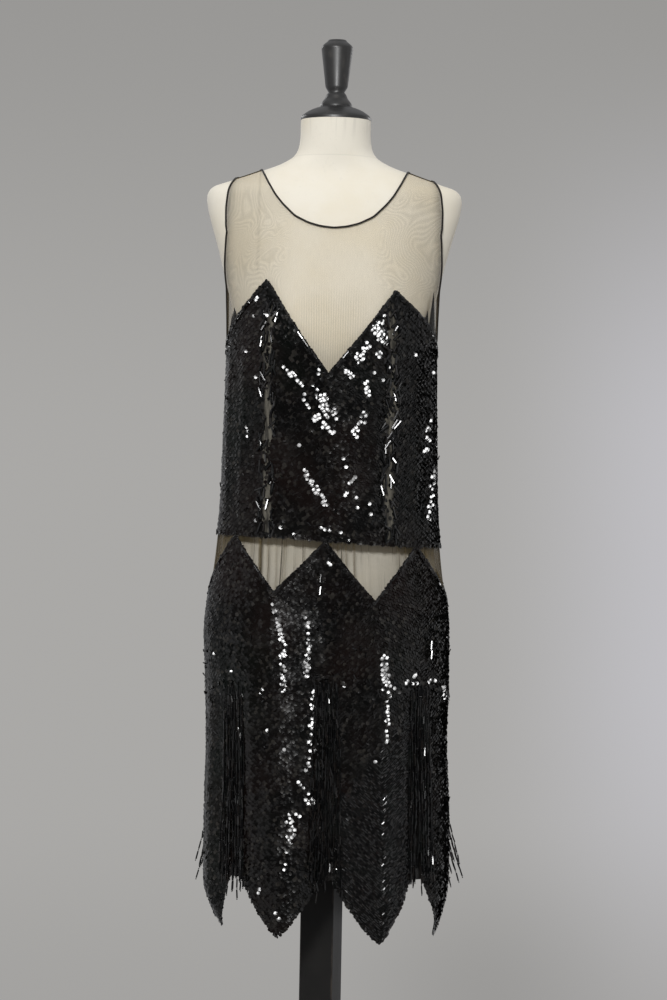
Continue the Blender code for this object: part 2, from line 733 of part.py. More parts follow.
def gather_wave(angle):
    """Uneven small gathers: how far the net dips inwards at this angle, from 0 to 1."""
    turn = math.radians(angle)
    phase = 2 * GATHERS_PER_PANEL * turn + 0.9 * math.sin(5 * turn) + 0.6 * math.sin(11 * turn + 1.0)
    depth = 0.75 + 0.25 * math.sin(7 * turn + 0.5)
    return depth * (0.5 - 0.5 * math.cos(phase))


def build_inserts(collection):
    """The gathered net at the hip, seamed to the bodice hem and to the zigzag of the hip yoke."""
    for name, middle in (("hip_insert_front", 0), ("hip_insert_back", 180)):
        band_panel(
            name,
            panel_angles(middle, [HIP_YOKE_TOP], 180 / (GATHERS_PER_PANEL * GATHER_SAMPLES)),
            lambda angle: edge_height(HIP_YOKE_TOP, angle) + 3 * SEAM_HALF_GAP,
            lambda angle: bodice_hem(angle) - 2 * SEAM_HALF_GAP,
            1,
            NET_WALL,
            "net",
            collection,
            lambda angle, z: -GATHER_DEPTH * gather_wave(angle),
        )


def build_hip_yokes(collection):
    for name, middle in (("hip_yoke_front", 0), ("hip_yoke_back", 180)):
        band_panel(
            name,
            panel_angles(middle, [HIP_YOKE_TOP, HIP_YOKE_BOTTOM], COLUMN_STEP),
            lambda angle: edge_height(HIP_YOKE_BOTTOM, angle) + SEAM_HALF_GAP,
            lambda angle: edge_height(HIP_YOKE_TOP, angle),
            HIP_YOKE_ROWS,
            SEQUIN_WALL,
            "sequins",
            collection,
        )


# Skirt


def godet_half(z):
    """Half the width of a godet, which opens from the yoke to the hem."""
    share = (GODET_TOP_Z - z) / (GODET_TOP_Z - GODET_HEM_Z)
    return GODET_TOP_HALF + (GODET_HEM_HALF - GODET_TOP_HALF) * min(1.0, max(0.0, share))


def petal_hem(petal, share):
    """The height of a petal's lower edge at a share of its width: a leaf point at its tip."""
    tip_share = (petal.tip - petal.start) / (petal.end - petal.start)
    off = (share - tip_share) / (tip_share if share < tip_share else 1 - tip_share)
    return petal.tip_z + (GODET_HEM_Z - petal.tip_z) * abs(off) ** 1.25


def build_petals(collection):
    for petal in PETALS:
        top_start = petal.start + angle_for(GODET_TOP_HALF, petal.start, GODET_TOP_Z)
        top_end = petal.end - angle_for(GODET_TOP_HALF, petal.end, GODET_TOP_Z)
        corner = next(p.at % 360 for p in HIP_YOKE_BOTTOM if top_start + 1 < p.at % 360 < top_end - 1)
        top_angles = through([top_start, corner, top_end], PETAL_STEP)
        tuck_z = GODET_HEM_Z - TUCK_START
        points = []
        for j in range(PETAL_ROWS + 1):
            for top_angle in top_angles:
                share = (top_angle - top_start) / (top_end - top_start)
                low = petal_hem(petal, share)
                high = edge_height(HIP_YOKE_BOTTOM, top_angle) - SEAM_HALF_GAP
                z = low + (high - low) * (j / PETAL_ROWS) ** 0.8
                widen = godet_half(z) - GODET_TOP_HALF
                from_start = angle_for(widen, petal.start, z) * (1 - share)
                from_end = angle_for(widen, petal.end, z) * share
                below = max(0.0, (tuck_z - z) / (tuck_z - petal.tip_z))
                angle = top_angle + from_start - from_end
                points.append(dress_point(angle, z, -petal.tuck_in * below**1.5))
        faces = grid_faces(len(top_angles) - 1, PETAL_ROWS)
        add_cloth(petal.name, points, faces, SEQUIN_WALL, "sequins", collection)


def build_godets(collection):
    """Plain net behind each fringe, lapped under the petals on both sides."""
    for godet in GODETS:
        high = edge_height(HIP_YOKE_BOTTOM, godet.angle) - 2 * SEAM_HALF_GAP
        points = []
        rows, columns = 6, 4
        for j in range(rows + 1):
            z = GODET_HEM_Z + (high - GODET_HEM_Z) * j / rows
            reach = angle_for(godet_half(z) + GODET_UNDERLAP, godet.angle, z)
            for angle in steps(godet.angle - reach, godet.angle + reach, columns):
                points.append(dress_point(angle, z, -(NET_WALL + UNDERLAP_GAP)))
        faces = grid_faces(columns, rows)
        add_cloth("godet_" + godet.name, points, faces, NET_WALL, "net", collection)


# Fringe


def strand_mesh_points(route):
    """A strand as a prism of a few sides along its route, with closed ends."""
    points, faces = [], []
    for n, place in enumerate(route):
        outward = Vector((place.x, place.y, 0)).normalized()
        across = Vector((-outward.y, outward.x, 0))
        for k in range(STRAND_SIDES):
            turn = 2 * math.pi * k / STRAND_SIDES
            points.append(place + STRAND_RADIUS * (math.cos(turn) * outward + math.sin(turn) * across))
        if n == 0:
            continue
        for k in range(STRAND_SIDES):
            a, b = (n - 1) * STRAND_SIDES + k, (n - 1) * STRAND_SIDES + (k + 1) % STRAND_SIDES
            faces.append((a, a + STRAND_SIDES, b + STRAND_SIDES, b))
    faces.append(tuple(range(STRAND_SIDES)))
    last = (len(route) - 1) * STRAND_SIDES
    faces.append(tuple(reversed(range(last, last + STRAND_SIDES))))
    return points, faces


def strand_route(godet, number, tape_z, tape_out):
    """A strand hangs from the tape over the petals' edges, in two layers, and flares a little."""
    layer = number % 2
    place = (number - (STRANDS_PER_FRINGE - 1) / 2) * STRAND_PITCH
    uneven = math.sin(2.4 * number + godet.angle)
    drop = FRINGE_DROP + 0.010 * uneven - 0.006 * layer
    route = []
    for step in range(STRAND_STEPS + 1):
        share = step / STRAND_STEPS
        z = tape_z - drop * share
        spread = place * (1 + 0.25 * share) + 0.001 * share * uneven
        out = tape_out + (0.0012 + 0.0024 * layer) * min(1.0, 3 * share) + godet.flare * share**2
        route.append(dress_point(godet.angle + angle_for(spread, godet.angle, z), z, out))
    return route


def build_fringes(collection, cutters):
    for godet in GODETS:
        top = edge_height(HIP_YOKE_BOTTOM, godet.angle) - 3 * SEAM_HALF_GAP
        seat = SEQUIN_WALL + 2 * SEAM_HALF_GAP
        half = STRANDS_PER_FRINGE * STRAND_PITCH / 2 + 1.0 * MM
        points = []
        columns = 6
        for z in (top - FRINGE_TAPE_HEIGHT, top):
            reach = angle_for(half, godet.angle, z)
            for angle in steps(godet.angle - reach, godet.angle + reach, columns):
                points.append(dress_point(angle, z, seat))
        name = "fringe_" + godet.name
        tape = add_cloth(name, points, grid_faces(columns, 1), FRINGE_TAPE_THICK, "beads", collection)
        strand_points, strand_faces = [], []
        root_z = top - FRINGE_TAPE_HEIGHT / 2
        for number in range(STRANDS_PER_FRINGE):
            route = strand_route(godet, number, root_z, seat + FRINGE_TAPE_THICK / 2)
            more_points, more_faces = strand_mesh_points(route)
            first = len(strand_points)
            strand_points += more_points
            strand_faces += [tuple(first + v for v in face) for face in more_faces]
        strands = add_object(name + "_strands", mesh_of(name, strand_points, strand_faces), "beads", cutters)
        strands.hide_render = True
        strands.display_type = "WIRE"
        joined = tape.modifiers.new("Strands", "BOOLEAN")
        joined.operation = "UNION"
        joined.object = strands


def build():
    for old in list(bpy.data.objects):
        bpy.data.objects.remove(old)
    dress = bpy.data.collections.new("sequin_dress_on_form")
    cutters = bpy.data.collections.new("cutters")
    for collection in (dress, cutters):
        bpy.context.scene.collection.children.link(collection)
    build_form(dress)
    build_neck_cap(dress)
    build_stand(dress)
    front_rows = build_yoke("yoke_front", 0, FRONT_NECK_Z, FRONT_NECKLINE, dress)
    back_rows = build_yoke("yoke_back", 180, BACK_NECK_Z, BACK_NECKLINE, dress)
    build_bindings(front_rows, back_rows, dress)
    build_bodice(dress)
    build_inserts(dress)
    build_hip_yokes(dress)
    build_petals(dress)
    build_godets(dress)
    build_fringes(dress, cutters)


build()
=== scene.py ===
"""Looks of a sleeveless sequin dress with a dropped waist and a petal hem, on its dress form.

Metres, +Z up. The front faces -Y. Angles round the figure are in degrees: 0 is the
centre front, 90 is +X, 180 is the centre back.
"""

import json
import math
from collections import namedtuple
from functools import partial

import bpy
import numpy as np
from mathutils import Matrix, Vector

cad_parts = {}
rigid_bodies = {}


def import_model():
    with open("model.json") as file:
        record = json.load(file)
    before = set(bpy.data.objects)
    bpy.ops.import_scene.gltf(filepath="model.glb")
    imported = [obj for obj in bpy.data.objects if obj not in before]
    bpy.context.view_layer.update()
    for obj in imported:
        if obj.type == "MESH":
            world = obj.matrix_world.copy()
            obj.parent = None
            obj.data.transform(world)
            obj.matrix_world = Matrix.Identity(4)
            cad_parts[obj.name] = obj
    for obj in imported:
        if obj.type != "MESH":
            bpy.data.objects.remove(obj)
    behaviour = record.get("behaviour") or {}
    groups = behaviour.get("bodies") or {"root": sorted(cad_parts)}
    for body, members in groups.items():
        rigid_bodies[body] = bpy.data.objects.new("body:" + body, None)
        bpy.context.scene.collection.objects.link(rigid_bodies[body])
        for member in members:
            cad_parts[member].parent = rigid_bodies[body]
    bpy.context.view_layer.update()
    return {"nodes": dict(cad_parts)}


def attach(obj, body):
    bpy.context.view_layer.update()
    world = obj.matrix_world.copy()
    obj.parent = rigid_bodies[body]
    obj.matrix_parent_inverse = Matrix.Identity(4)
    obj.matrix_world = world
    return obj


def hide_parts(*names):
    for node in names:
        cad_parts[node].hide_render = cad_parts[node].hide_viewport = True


bl_info = {
    "name": "Sequin dress on a form",
    "version": (1, 0, 0),
    "blender": (4, 5, 0),
    "location": "View3D > Sidebar > Dress",
    "description": "Dresses the packed model in net, sequins, bugle beads and canvas",
    "category": "Object",
}

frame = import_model()
MM = 0.001

# Sizes that the solids share
NET_CLEAR = 2.1 * MM
SEAM_GAP = 0.3 * MM
BODICE_HEM_Z, BODICE_HEM_TILT = 0.8725, 0.0075
UNDERARM_Z = 1.165
FRONT_NECK_Z, BACK_NECK_Z = 1.3295, 1.345
FORM_TOP_Z, FORM_BOTTOM_Z = 1.4987, 0.680
SHOULDER_Y = 0.004
BINDING_LIFT = 1.1 * MM
POST_TURN, POST_WIDTH = -16.0, 0.0515
FLUTE_DEPTH = 0.006
GODET_TOP_HALF, GODET_HEM_HALF, GODET_UNDERLAP = 4.0 * MM, 11.0 * MM, 5.0 * MM
GODET_TOP_Z, GODET_HEM_Z, TUCK_START = 0.660, 0.372, 15.0 * MM
GATHERS_PER_PANEL = 34

# Sizes of the looks alone
NET_WALL, PLEAT_WALL = 0.7 * MM, 0.5 * MM
BINDING_STEP = 2.5 * MM
PETAL_BUGLE_RADIUS, PETAL_BUGLE_LENGTH = 1.0 * MM, 4.4 * MM
STRAY_BUGLE_RADIUS, STRAY_BUGLE_LENGTH = 0.9 * MM, 7.0 * MM
EDGE_BEAD_RADIUS = 1.3 * MM
# Rounds of halving or averaging that bring a point onto a surface or an edge
HALVINGS, AVERAGINGS = 26, 24

# Padded form: height, half width, depth to the front and to the back, squareness
FORM = np.array(
    [
        (0.680, 0.1380, 0.0880, 0.0970, 2.2),
        (0.688, 0.1500, 0.0960, 0.1050, 2.2),
        (0.720, 0.1570, 0.1000, 0.1100, 2.2),
        (0.760, 0.1620, 0.1030, 0.1130, 2.2),
        (0.800, 0.1640, 0.1040, 0.1140, 2.2),
        (0.862, 0.1580, 0.1000, 0.1070, 2.2),
        (0.905, 0.1480, 0.0960, 0.0980, 2.2),
        (0.950, 0.1320, 0.0910, 0.0860, 2.2),
        (0.990, 0.1190, 0.0880, 0.0770, 2.2),
        (1.025, 0.1130, 0.0870, 0.0730, 2.2),
        (1.065, 0.1190, 0.0930, 0.0770, 2.2),
        (1.110, 0.1300, 0.1080, 0.0850, 2.2),
        (1.150, 0.1380, 0.1200, 0.0920, 2.2),
        (1.180, 0.1430, 0.1220, 0.0950, 2.2),
        (1.210, 0.1490, 0.1170, 0.0970, 2.2),
        (1.260, 0.1620, 0.1050, 0.0980, 2.2),
        (1.300, 0.1720, 0.0960, 0.0960, 2.2),
        (1.335, 0.1820, 0.0860, 0.0920, 2.2),
        (1.362, 0.1890, 0.0770, 0.0860, 2.2),
        (1.384, 0.1905, 0.0670, 0.0780, 2.3),
        (1.396, 0.1820, 0.0600, 0.0710, 2.3),
        (1.404, 0.1600, 0.0550, 0.0650, 2.2),
        (1.412, 0.1350, 0.0510, 0.0600, 2.2),
        (1.421, 0.1100, 0.0480, 0.0560, 2.1),
        (1.431, 0.0830, 0.0470, 0.0540, 2.1),
        (1.444, 0.0620, 0.0480, 0.0530, 2.0),
        (1.462, 0.0540, 0.0500, 0.0525, 2.0),
        (FORM_TOP_Z, 0.0525, 0.0525, 0.0525, 2.0),
    ]
)

# The dress where it hangs free of the form: the same columns, and how far it sways to +X
DRESS = np.array(
    [
        (0.2600, 0.1697, 0.1270, 0.1290, 2.15, 0.006),
        (0.3600, 0.1722, 0.1290, 0.1310, 2.15, 0.006),
        (0.4800, 0.1740, 0.1290, 0.1310, 2.15, 0.005),
        (0.5700, 0.1730, 0.1280, 0.1300, 2.15, 0.003),
        (0.6600, 0.1775, 0.1280, 0.1300, 2.15, 0.002),
        (0.7200, 0.1810, 0.1280, 0.1300, 2.15, 0.000),
        (0.7600, 0.1800, 0.1260, 0.1280, 2.15, 0.000),
        (0.8200, 0.1710, 0.1220, 0.1240, 2.15, 0.000),
        (0.8655, 0.1660, 0.1210, 0.1190, 2.15, 0.000),
        (0.9300, 0.1610, 0.1220, 0.1120, 2.15, 0.000),
        (1.0050, 0.1590, 0.1240, 0.1070, 2.15, 0.000),
        (1.0800, 0.1570, 0.1270, 0.1030, 2.15, 0.000),
        (1.1400, 0.1560, 0.1280, 0.1010, 2.15, 0.000),
        (1.1700, 0.1560, 0.1265, 0.1000, 2.15, 0.000),
        (1.2000, 0.1570, 0.1210, 0.0990, 2.15, 0.000),
        (1.2300, 0.1590, 0.1140, 0.0980, 2.15, 0.000),
        (1.2600, 0.1610, 0.1050, 0.0970, 2.15, 0.000),
        (1.3500, 0.1650, 0.0800, 0.0850, 2.15, 0.000),
    ]
)

# Cut edges: angle and height of each corner
BODICE_TOP = np.array(
    [
        (-90, 1.150), (-68, 1.193), (-46, 1.251), (-1.8, 1.112), (43.5, 1.238), (67, 1.191), (90, 1.150),
        (113, 1.193), (137, 1.245), (180, 1.120), (223, 1.245), (247, 1.193), (270, 1.150),
    ]
)
HIP_YOKE_TOP = np.array(
    [
        (-90, 0.789), (-61.5, 0.876), (-34.8, 0.792), (-2, 0.868), (31, 0.780), (57.5, 0.863), (88, 0.778),
        (118, 0.862), (149, 0.782), (180, 0.868), (211, 0.788), (241, 0.874), (270, 0.789),
    ]
)
HIP_YOKE_BOTTOM = np.array(
    [
        (-88, 0.638), (-58, 0.666), (-32.6, 0.639), (0, 0.673), (32.6, 0.638), (58, 0.664), (88, 0.638),
        (118, 0.664), (149, 0.638), (180, 0.673), (211, 0.639), (242, 0.666), (272, 0.638),
    ]
)
ARMHOLE_SIDE = np.array(
    [
        (UNDERARM_Z, 0.000), (1.176, 0.009), (1.200, 0.016), (1.230, 0.022),
        (1.260, 0.031), (1.300, 0.045), (1.350, 0.054),
    ]
)
STRAP_ARMHOLE = np.array(
    [(1.330, 0.1585), (1.362, 0.1590), (1.389, 0.1560), (1.400, 0.1510), (1.410, 0.1450)]
)
FRONT_NECKLINE = np.array(
    [
        (FRONT_NECK_Z, 0.000), (1.3310, 0.018), (1.3360, 0.037), (1.3470, 0.059),
        (1.3660, 0.078), (1.3800, 0.089), (1.3990, 0.100), (1.4215, 0.111),
    ]
)
BACK_NECKLINE = np.array(
    [
        (BACK_NECK_Z, 0.000), (1.3465, 0.020), (1.3510, 0.041), (1.3600, 0.061),
        (1.3760, 0.080), (1.3880, 0.091), (1.4030, 0.102), (1.4215, 0.111),
    ]
)

Petal = namedtuple("Petal", "name start tip end tip_z tuck_in")
PETALS = [
    Petal("petal_front_left", 0.0, 32.6, 58.0, 0.284, 0.002),
    Petal("petal_side_left", 58.0, 86.0, 118.0, 0.282, 0.018),
    Petal("petal_back_left", 118.0, 149.0, 180.0, 0.286, 0.002),
    Petal("petal_back_right", 180.0, 211.0, 242.0, 0.290, 0.002),
    Petal("petal_side_right", 242.0, 281.0, 302.0, 0.294, 0.024),
    Petal("petal_front_right", 302.0, 331.5, 360.0, 0.291, 0.002),
]
# Godets: name, angle, and how far the fringe over each flares out towards its foot
Godet = namedtuple("Godet", "name angle flare")
GODETS = [
    Godet("centre_front", 0.0, 0.001),
    Godet("front_left", 58.0, 0.004),
    Godet("back_left", 118.0, 0.018),
    Godet("centre_back", 180.0, 0.001),
    Godet("back_right", 242.0, 0.018),
    Godet("front_right", 302.0, 0.004),
]

# Folds: angle, drift towards the hem, width in degrees, height, where it starts, how soon it is full
# and where it ends
Fold = namedtuple("Fold", "angle drift width height top_z reach low_z")
SKIRT_FOLDS = [
    Fold(*row, 0.12, 0.0)
    for row in (
        (-27.0, 3.0, 7.0, 0.0030, 0.79), (-12.0, -3.0, 6.0, 0.0035, 0.76), (34.0, 2.0, 8.0, 0.0040, 0.77),
        (16.0, 2.0, 5.0, 0.0020, 0.70), (73.0, 2.0, 7.0, 0.0035, 0.75), (100.0, -2.0, 7.0, 0.0025, 0.72),
        (138.0, 3.0, 8.0, 0.0035, 0.77), (160.0, -2.0, 6.0, 0.0030, 0.74), (201.0, 3.0, 6.0, 0.0030, 0.76),
        (225.0, -2.0, 8.0, 0.0035, 0.78), (262.0, 2.0, 7.0, 0.0025, 0.73), (285.0, -3.0, 7.0, 0.0050, 0.70),
    )
]
# Softer creases of the sequined cloth, which the solids leave out
CREASES_LOW_Z = {"bodice": 0.88, "skirt": 0.0}
CREASES = [
    Fold(*row, CREASES_LOW_Z["bodice"])
    for row in (
        (-74.0, 3.0, 3.4, 0.0022, 1.16, 0.05), (-57.0, -2.0, 3.0, 0.0020, 1.19, 0.06),
        (-30.0, 4.0, 4.2, 0.0017, 1.12, 0.08), (-9.0, -2.0, 3.4, 0.0017, 1.08, 0.06),
        (13.0, 3.0, 3.8, 0.0018, 1.10, 0.08), (31.0, -3.0, 3.2, 0.0015, 1.13, 0.06),
        (56.0, 2.0, 3.2, 0.0022, 1.19, 0.06), (72.0, -2.0, 3.0, 0.0024, 1.16, 0.05),
        (106.0, 3.0, 3.4, 0.0022, 1.16, 0.05), (126.0, -2.0, 3.6, 0.0020, 1.18, 0.07),
        (152.0, 3.0, 4.4, 0.0018, 1.12, 0.08), (172.0, -3.0, 3.6, 0.0017, 1.07, 0.06),
        (193.0, 3.0, 3.8, 0.0017, 1.09, 0.08), (214.0, -3.0, 3.4, 0.0020, 1.14, 0.06),
        (239.0, 3.0, 3.2, 0.0021, 1.18, 0.06), (255.0, -3.0, 3.0, 0.0022, 1.16, 0.05),
    )
] + [
    Fold(*row, CREASES_LOW_Z["skirt"])
    for row in (
        (-47.0, 2.0, 3.0, 0.0018, 0.74, 0.10), (-20.0, 2.0, 2.6, 0.0018, 0.70, 0.08),
        (8.0, -2.0, 2.6, 0.0018, 0.70, 0.08), (25.0, -2.0, 2.8, 0.0020, 0.72, 0.08),
        (45.0, 2.0, 3.0, 0.0022, 0.74, 0.10), (64.0, -2.0, 3.2, 0.0022, 0.72, 0.10),
        (86.0, 2.0, 3.4, 0.0025, 0.74, 0.10), (110.0, -3.0, 3.0, 0.0021, 0.70, 0.08),
        (129.0, 2.0, 3.0, 0.0022, 0.72, 0.08), (149.0, -2.0, 2.8, 0.0018, 0.70, 0.08),
        (170.0, 2.0, 2.8, 0.0018, 0.72, 0.08), (191.0, -2.0, 2.6, 0.0018, 0.70, 0.08),
        (213.0, 2.0, 2.8, 0.0020, 0.72, 0.08), (234.0, -2.0, 3.0, 0.0021, 0.72, 0.08),
        (250.0, 2.0, 3.2, 0.0022, 0.74, 0.10), (273.0, -2.0, 3.4, 0.0025, 0.74, 0.10),
        (295.0, 2.0, 3.0, 0.0022, 0.72, 0.10),
    )
]

# Strips of bare netting with loose bugle sticks, hanging under the bodice's peaks
STRIP_ANGLES = [-41.0, 39.5, 137.0, 223.0]
STRIP_HALF, BODICE_RADIUS = 10.0 * MM, 0.145
STRIP_COUNT, STRIP_LIT_SHARE, STRAY_COUNT = 125, 0.035, 170

# How close the strings of beads lie, under the names that the sequins' own sizes have
Spacing = namedtuple("Spacing", "sequin_step row_step")
PETAL_HEIGHTS = (0.27, 0.68)
BODICE_LEAN, SKIRT_LEAN = math.radians(50), math.radians(44)
SEQUIN_CUP = 0.20 * MM
SEQUIN_LAP, LAP_SPREAD = 14.0, 5.0
# Sequins that lie askew: their share and spread in degrees
ASKEW_SHARE, ASKEW_SPREAD = 0.06, 20
# What would mirror the main light by chance is turned at least this far from it
DARK_TURN = math.radians(8.0)

# Where sequins of the front catch the main light: a line as seen from the front, its half width and the
# share of its sequins that do
GlintStreak = namedtuple("GlintStreak", "x0 z0 x1 z1 half share")
GLINT_STREAKS = [
    GlintStreak(*row)
    for row in (
        (0.0583, 1.1913, 0.0821, 1.1654, 0.0100, 0.92), (0.0757, 1.1975, 0.0788, 1.1858, 0.0059, 0.70),
        (0.0304, 1.1133, 0.0501, 1.1575, 0.0059, 0.60), (0.0201, 1.1204, 0.0275, 1.1118, 0.0044, 0.60),
        (-0.0677, 1.1232, -0.0424, 1.0973, 0.0032, 0.70), (-0.0422, 1.0871, -0.0330, 1.0638, 0.0023, 0.80),
        (-0.0194, 1.1168, 0.0026, 1.1172, 0.0044, 0.50), (-0.0263, 1.0991, -0.0128, 1.0788, 0.0044, 0.80),
        (-0.0128, 1.0788, 0.0023, 1.0543, 0.0088, 0.65), (-0.0210, 1.0494, 0.0027, 1.0323, 0.0059, 0.60),
        (0.0510, 1.1063, 0.0559, 1.0801, 0.0026, 0.90), (0.0336, 1.0212, 0.0505, 1.0566, 0.0059, 0.50),
        (-0.0342, 0.9688, -0.0026, 0.9225, 0.0050, 0.70), (0.0351, 0.9640, 0.0247, 0.9393, 0.0026, 0.70),
        (0.1007, 0.6567, 0.1600, 0.6660, 0.0022, 0.35), (0.0395, 0.9379, 0.0428, 0.9160, 0.0026, 0.80),
        (-0.1071, 0.8767, -0.0968, 0.8754, 0.0022, 0.80), (-0.0661, 0.8731, -0.0441, 0.8691, 0.0023, 0.60),
        (-0.0049, 0.8859, 0.0025, 0.8846, 0.0022, 0.90), (0.0261, 0.8718, 0.0320, 0.8705, 0.0022, 0.90),
        (-0.1207, 1.2202, -0.1121, 1.2262, 0.0023, 0.80), (-0.1001, 1.2118, -0.0939, 1.1944, 0.0029, 0.40),
        (0.0678, 1.1476, 0.0709, 1.1418, 0.0029, 0.70), (-0.0804, 0.7748, -0.0633, 0.7239, 0.0026, 0.85),
        (-0.0633, 0.7239, -0.0605, 0.6508, 0.0040, 0.58), (-0.0289, 0.7582, -0.0253, 0.7246, 0.0032, 0.55),
        (-0.0253, 0.7246, -0.0287, 0.6690, 0.0032, 0.55), (-0.0167, 0.6516, -0.0247, 0.5345, 0.0029, 0.60),
        (-0.0332, 0.5197, -0.0195, 0.4878, 0.0051, 0.50), (0.0829, 0.7252, 0.0888, 0.6433, 0.0066, 0.36),
        (0.0850, 0.6874, 0.0905, 0.6600, 0.0058, 0.75), (0.0905, 0.6317, 0.0915, 0.5776, 0.0029, 0.70),
        (0.1191, 0.6644, 0.1336, 0.6763, 0.0022, 0.80), (-0.0368, 0.4757, -0.0543, 0.3906, 0.0037, 0.40),
        (-0.0484, 0.4682, -0.0448, 0.4317, 0.0059, 0.35), (0.1749, 0.6552, 0.1766, 0.6406, 0.0023, 0.80),
        (0.1457, 1.0496, 0.1421, 1.0056, 0.0037, 0.35), (0.1529, 0.9766, 0.1484, 0.9033, 0.0037, 0.30),
        (-0.1237, 0.5839, -0.1220, 0.5736, 0.0022, 0.80), (-0.0898, 0.9721, -0.0861, 0.9283, 0.0022, 0.50),
        (-0.0166, 0.5712, -0.0150, 0.5610, 0.0029, 0.70), (-0.0011, 0.8421, 0.0019, 0.8334, 0.0023, 0.80),
        (-0.0454, 0.7828, -0.0439, 0.7799, 0.0022, 0.70), (0.0603, 0.9237, 0.0636, 0.9018, 0.0023, 0.30),
        (0.0194, 0.9961, 0.0228, 0.9742, 0.0026, 0.30), (-0.0438, 1.0168, -0.0405, 0.9950, 0.0023, 0.30),
        (-0.1233, 1.0446, -0.1213, 1.0154, 0.0023, 0.30), (0.0759, 0.5510, 0.0799, 0.4925, 0.0022, 0.15),
        (0.0555, 0.3897, 0.0834, 0.3024, 0.0044, 0.12), (-0.1051, 0.3721, -0.0527, 0.3072, 0.0044, 0.10),
    )
]
# Short lines and single places where only the nearest sequin does
SHORT_GLINTS = [
    (-0.1160, 1.2027, -0.1157, 1.1881), (-0.0853, 1.2004, -0.0852, 1.1975),
    (0.1234, 1.1516, 0.1236, 1.1369), (0.1501, 1.1286, 0.1503, 1.1199),
    (0.0625, 1.1183, 0.0626, 1.1153),
]
LONE_GLINTS = [
    (-0.1079, 0.8986), (-0.0695, 0.8889), (-0.0489, 0.8806), (-0.0108, 0.8886), (0.0186, 0.8817),
    (-0.1267, 1.1499), (-0.1114, 1.1107), (0.0858, 1.1260), (0.0744, 1.1068), (0.0256, 0.6627),
    (-0.0942, 0.6502), (-0.0857, 0.5904), (-0.0589, 0.5646), (-0.1385, 0.6728), (-0.1653, 0.7001),
]
# The same for bugles
BUGLE_GLINTS = [
    (-0.0977, 1.1621), (-0.0875, 1.1608), (0.0928, 1.1832), (0.1032, 1.1322), (-0.0371, 1.1647),
    (-0.0684, 1.0018), (-0.0861, 0.9283), (0.0850, 1.0075), (0.0948, 0.9565), (-0.0104, 0.7907),
    (-0.0101, 0.7724), (0.1503, 0.7176), (0.1506, 0.7030), (0.0085, 0.6375), (0.1465, 0.6064),
    (0.1459, 0.5610), (-0.1253, 0.5926), (0.0130, 0.3889), (0.1559, 0.4135), (0.1679, 0.3976),
    (-0.1247, 0.4829), (0.1470, 0.5011), (-0.0439, 1.1736), (0.0770, 1.0125), (0.0840, 1.0090),
    (0.0880, 0.9600), (0.0770, 0.9440), (-0.1010, 1.0160), (-0.0950, 1.1850),
]

# Cloth faces the front where its outward direction has less y than this; what does not is called far
FACING_FRONT, FAR = -0.15, 1.0

CAMERA_PLACE = np.array((0.00675, -5.0, 0.93))
CAMERA_ROLL = 1.0536
KEY_PLACE = np.array((-0.55, -4.30, 3.10))


# The shape of the form and of the dress


def linear_table(table, column, wanted):
    return np.interp(wanted, table[:, 0], table[:, column])


def smooth_table(table, column, wanted):
    """One column of a table, smoothly between its rows."""
    keys, values = table[:, 0], table[:, column]
    wanted = np.clip(wanted, keys[0], keys[-1])
    at = np.clip(np.searchsorted(keys, wanted, "right") - 1, 0, len(keys) - 2)
    low = np.maximum(np.arange(len(keys)) - 1, 0)
    high = np.minimum(np.arange(len(keys)) + 1, len(keys) - 1)
    slopes = (values[high] - values[low]) / (keys[high] - keys[low])
    span = keys[at + 1] - keys[at]
    t = (wanted - keys[at]) / span
    straight = values[at] + (values[at + 1] - values[at]) * t * t * (3 - 2 * t)
    return straight + span * (slopes[at] * t * (1 - t) ** 2 - slopes[at + 1] * t * t * (1 - t))


def oval_radius(angle, half_width, front, back, square):
    turn = np.radians(angle)
    across, along = np.abs(np.sin(turn)), np.cos(turn)
    depth = np.where(along > 0, front, back)
    return ((across / half_width) ** square + (np.abs(along) / depth) ** square) ** (-1 / square)


def form_radius(angle, z):
    return oval_radius(angle, *(smooth_table(FORM, column, z) for column in (1, 2, 3, 4)))


def edge_height(edge, angle):
    """The height of a cut edge, whose table runs once round from its first angle."""
    first = edge[0, 0]
    return np.interp((np.asarray(angle, float) - first) % 360 + first, edge[:, 0], edge[:, 1])


def bodice_hem(angle):
    return BODICE_HEM_Z - BODICE_HEM_TILT * np.sin(np.radians(angle))


def soft_step(value):
    value = np.clip(value, 0, 1)
    return value * value * (3 - 2 * value)


def folds(rows, angle, z):
    raised = 0.0
    for fold in rows:
        grow = np.clip((fold.top_z - z) / fold.reach, 0, 1) * soft_step((z - fold.low_z) / 0.05)
        middle = fold.angle + fold.drift * (fold.top_z - z) / 0.4
        away = (angle - middle + 180) % 360 - 180
        raised = raised + fold.height * grow * np.exp(-((away / fold.width) ** 2))
    return raised


def flute(angle, z):
    """The petals swell between the godets, more towards the hem."""
    turn = np.asarray(angle, float) % 360
    share = np.zeros_like(turn)
    for petal in PETALS:
        inside = (turn >= petal.start) & (turn <= petal.end)
        share = np.where(inside, (turn - petal.start) / (petal.end - petal.start), share)
    return -FLUTE_DEPTH * np.cos(2 * np.pi * share) * np.clip((0.70 - z) / 0.30, 0, 1)


def dress_radius(angle, z):
    """The inner face of the dress: on the form where that is larger, and free of it elsewhere."""
    on_form = form_radius(angle, z) + NET_CLEAR
    free = oval_radius(angle, *(smooth_table(DRESS, column, z) for column in (1, 2, 3, 4)))
    hung = 0.5 * (on_form + free + np.sqrt((on_form - free) ** 2 + 0.0012**2))
    return hung + folds(SKIRT_FOLDS, angle, z) + flute(angle, z)


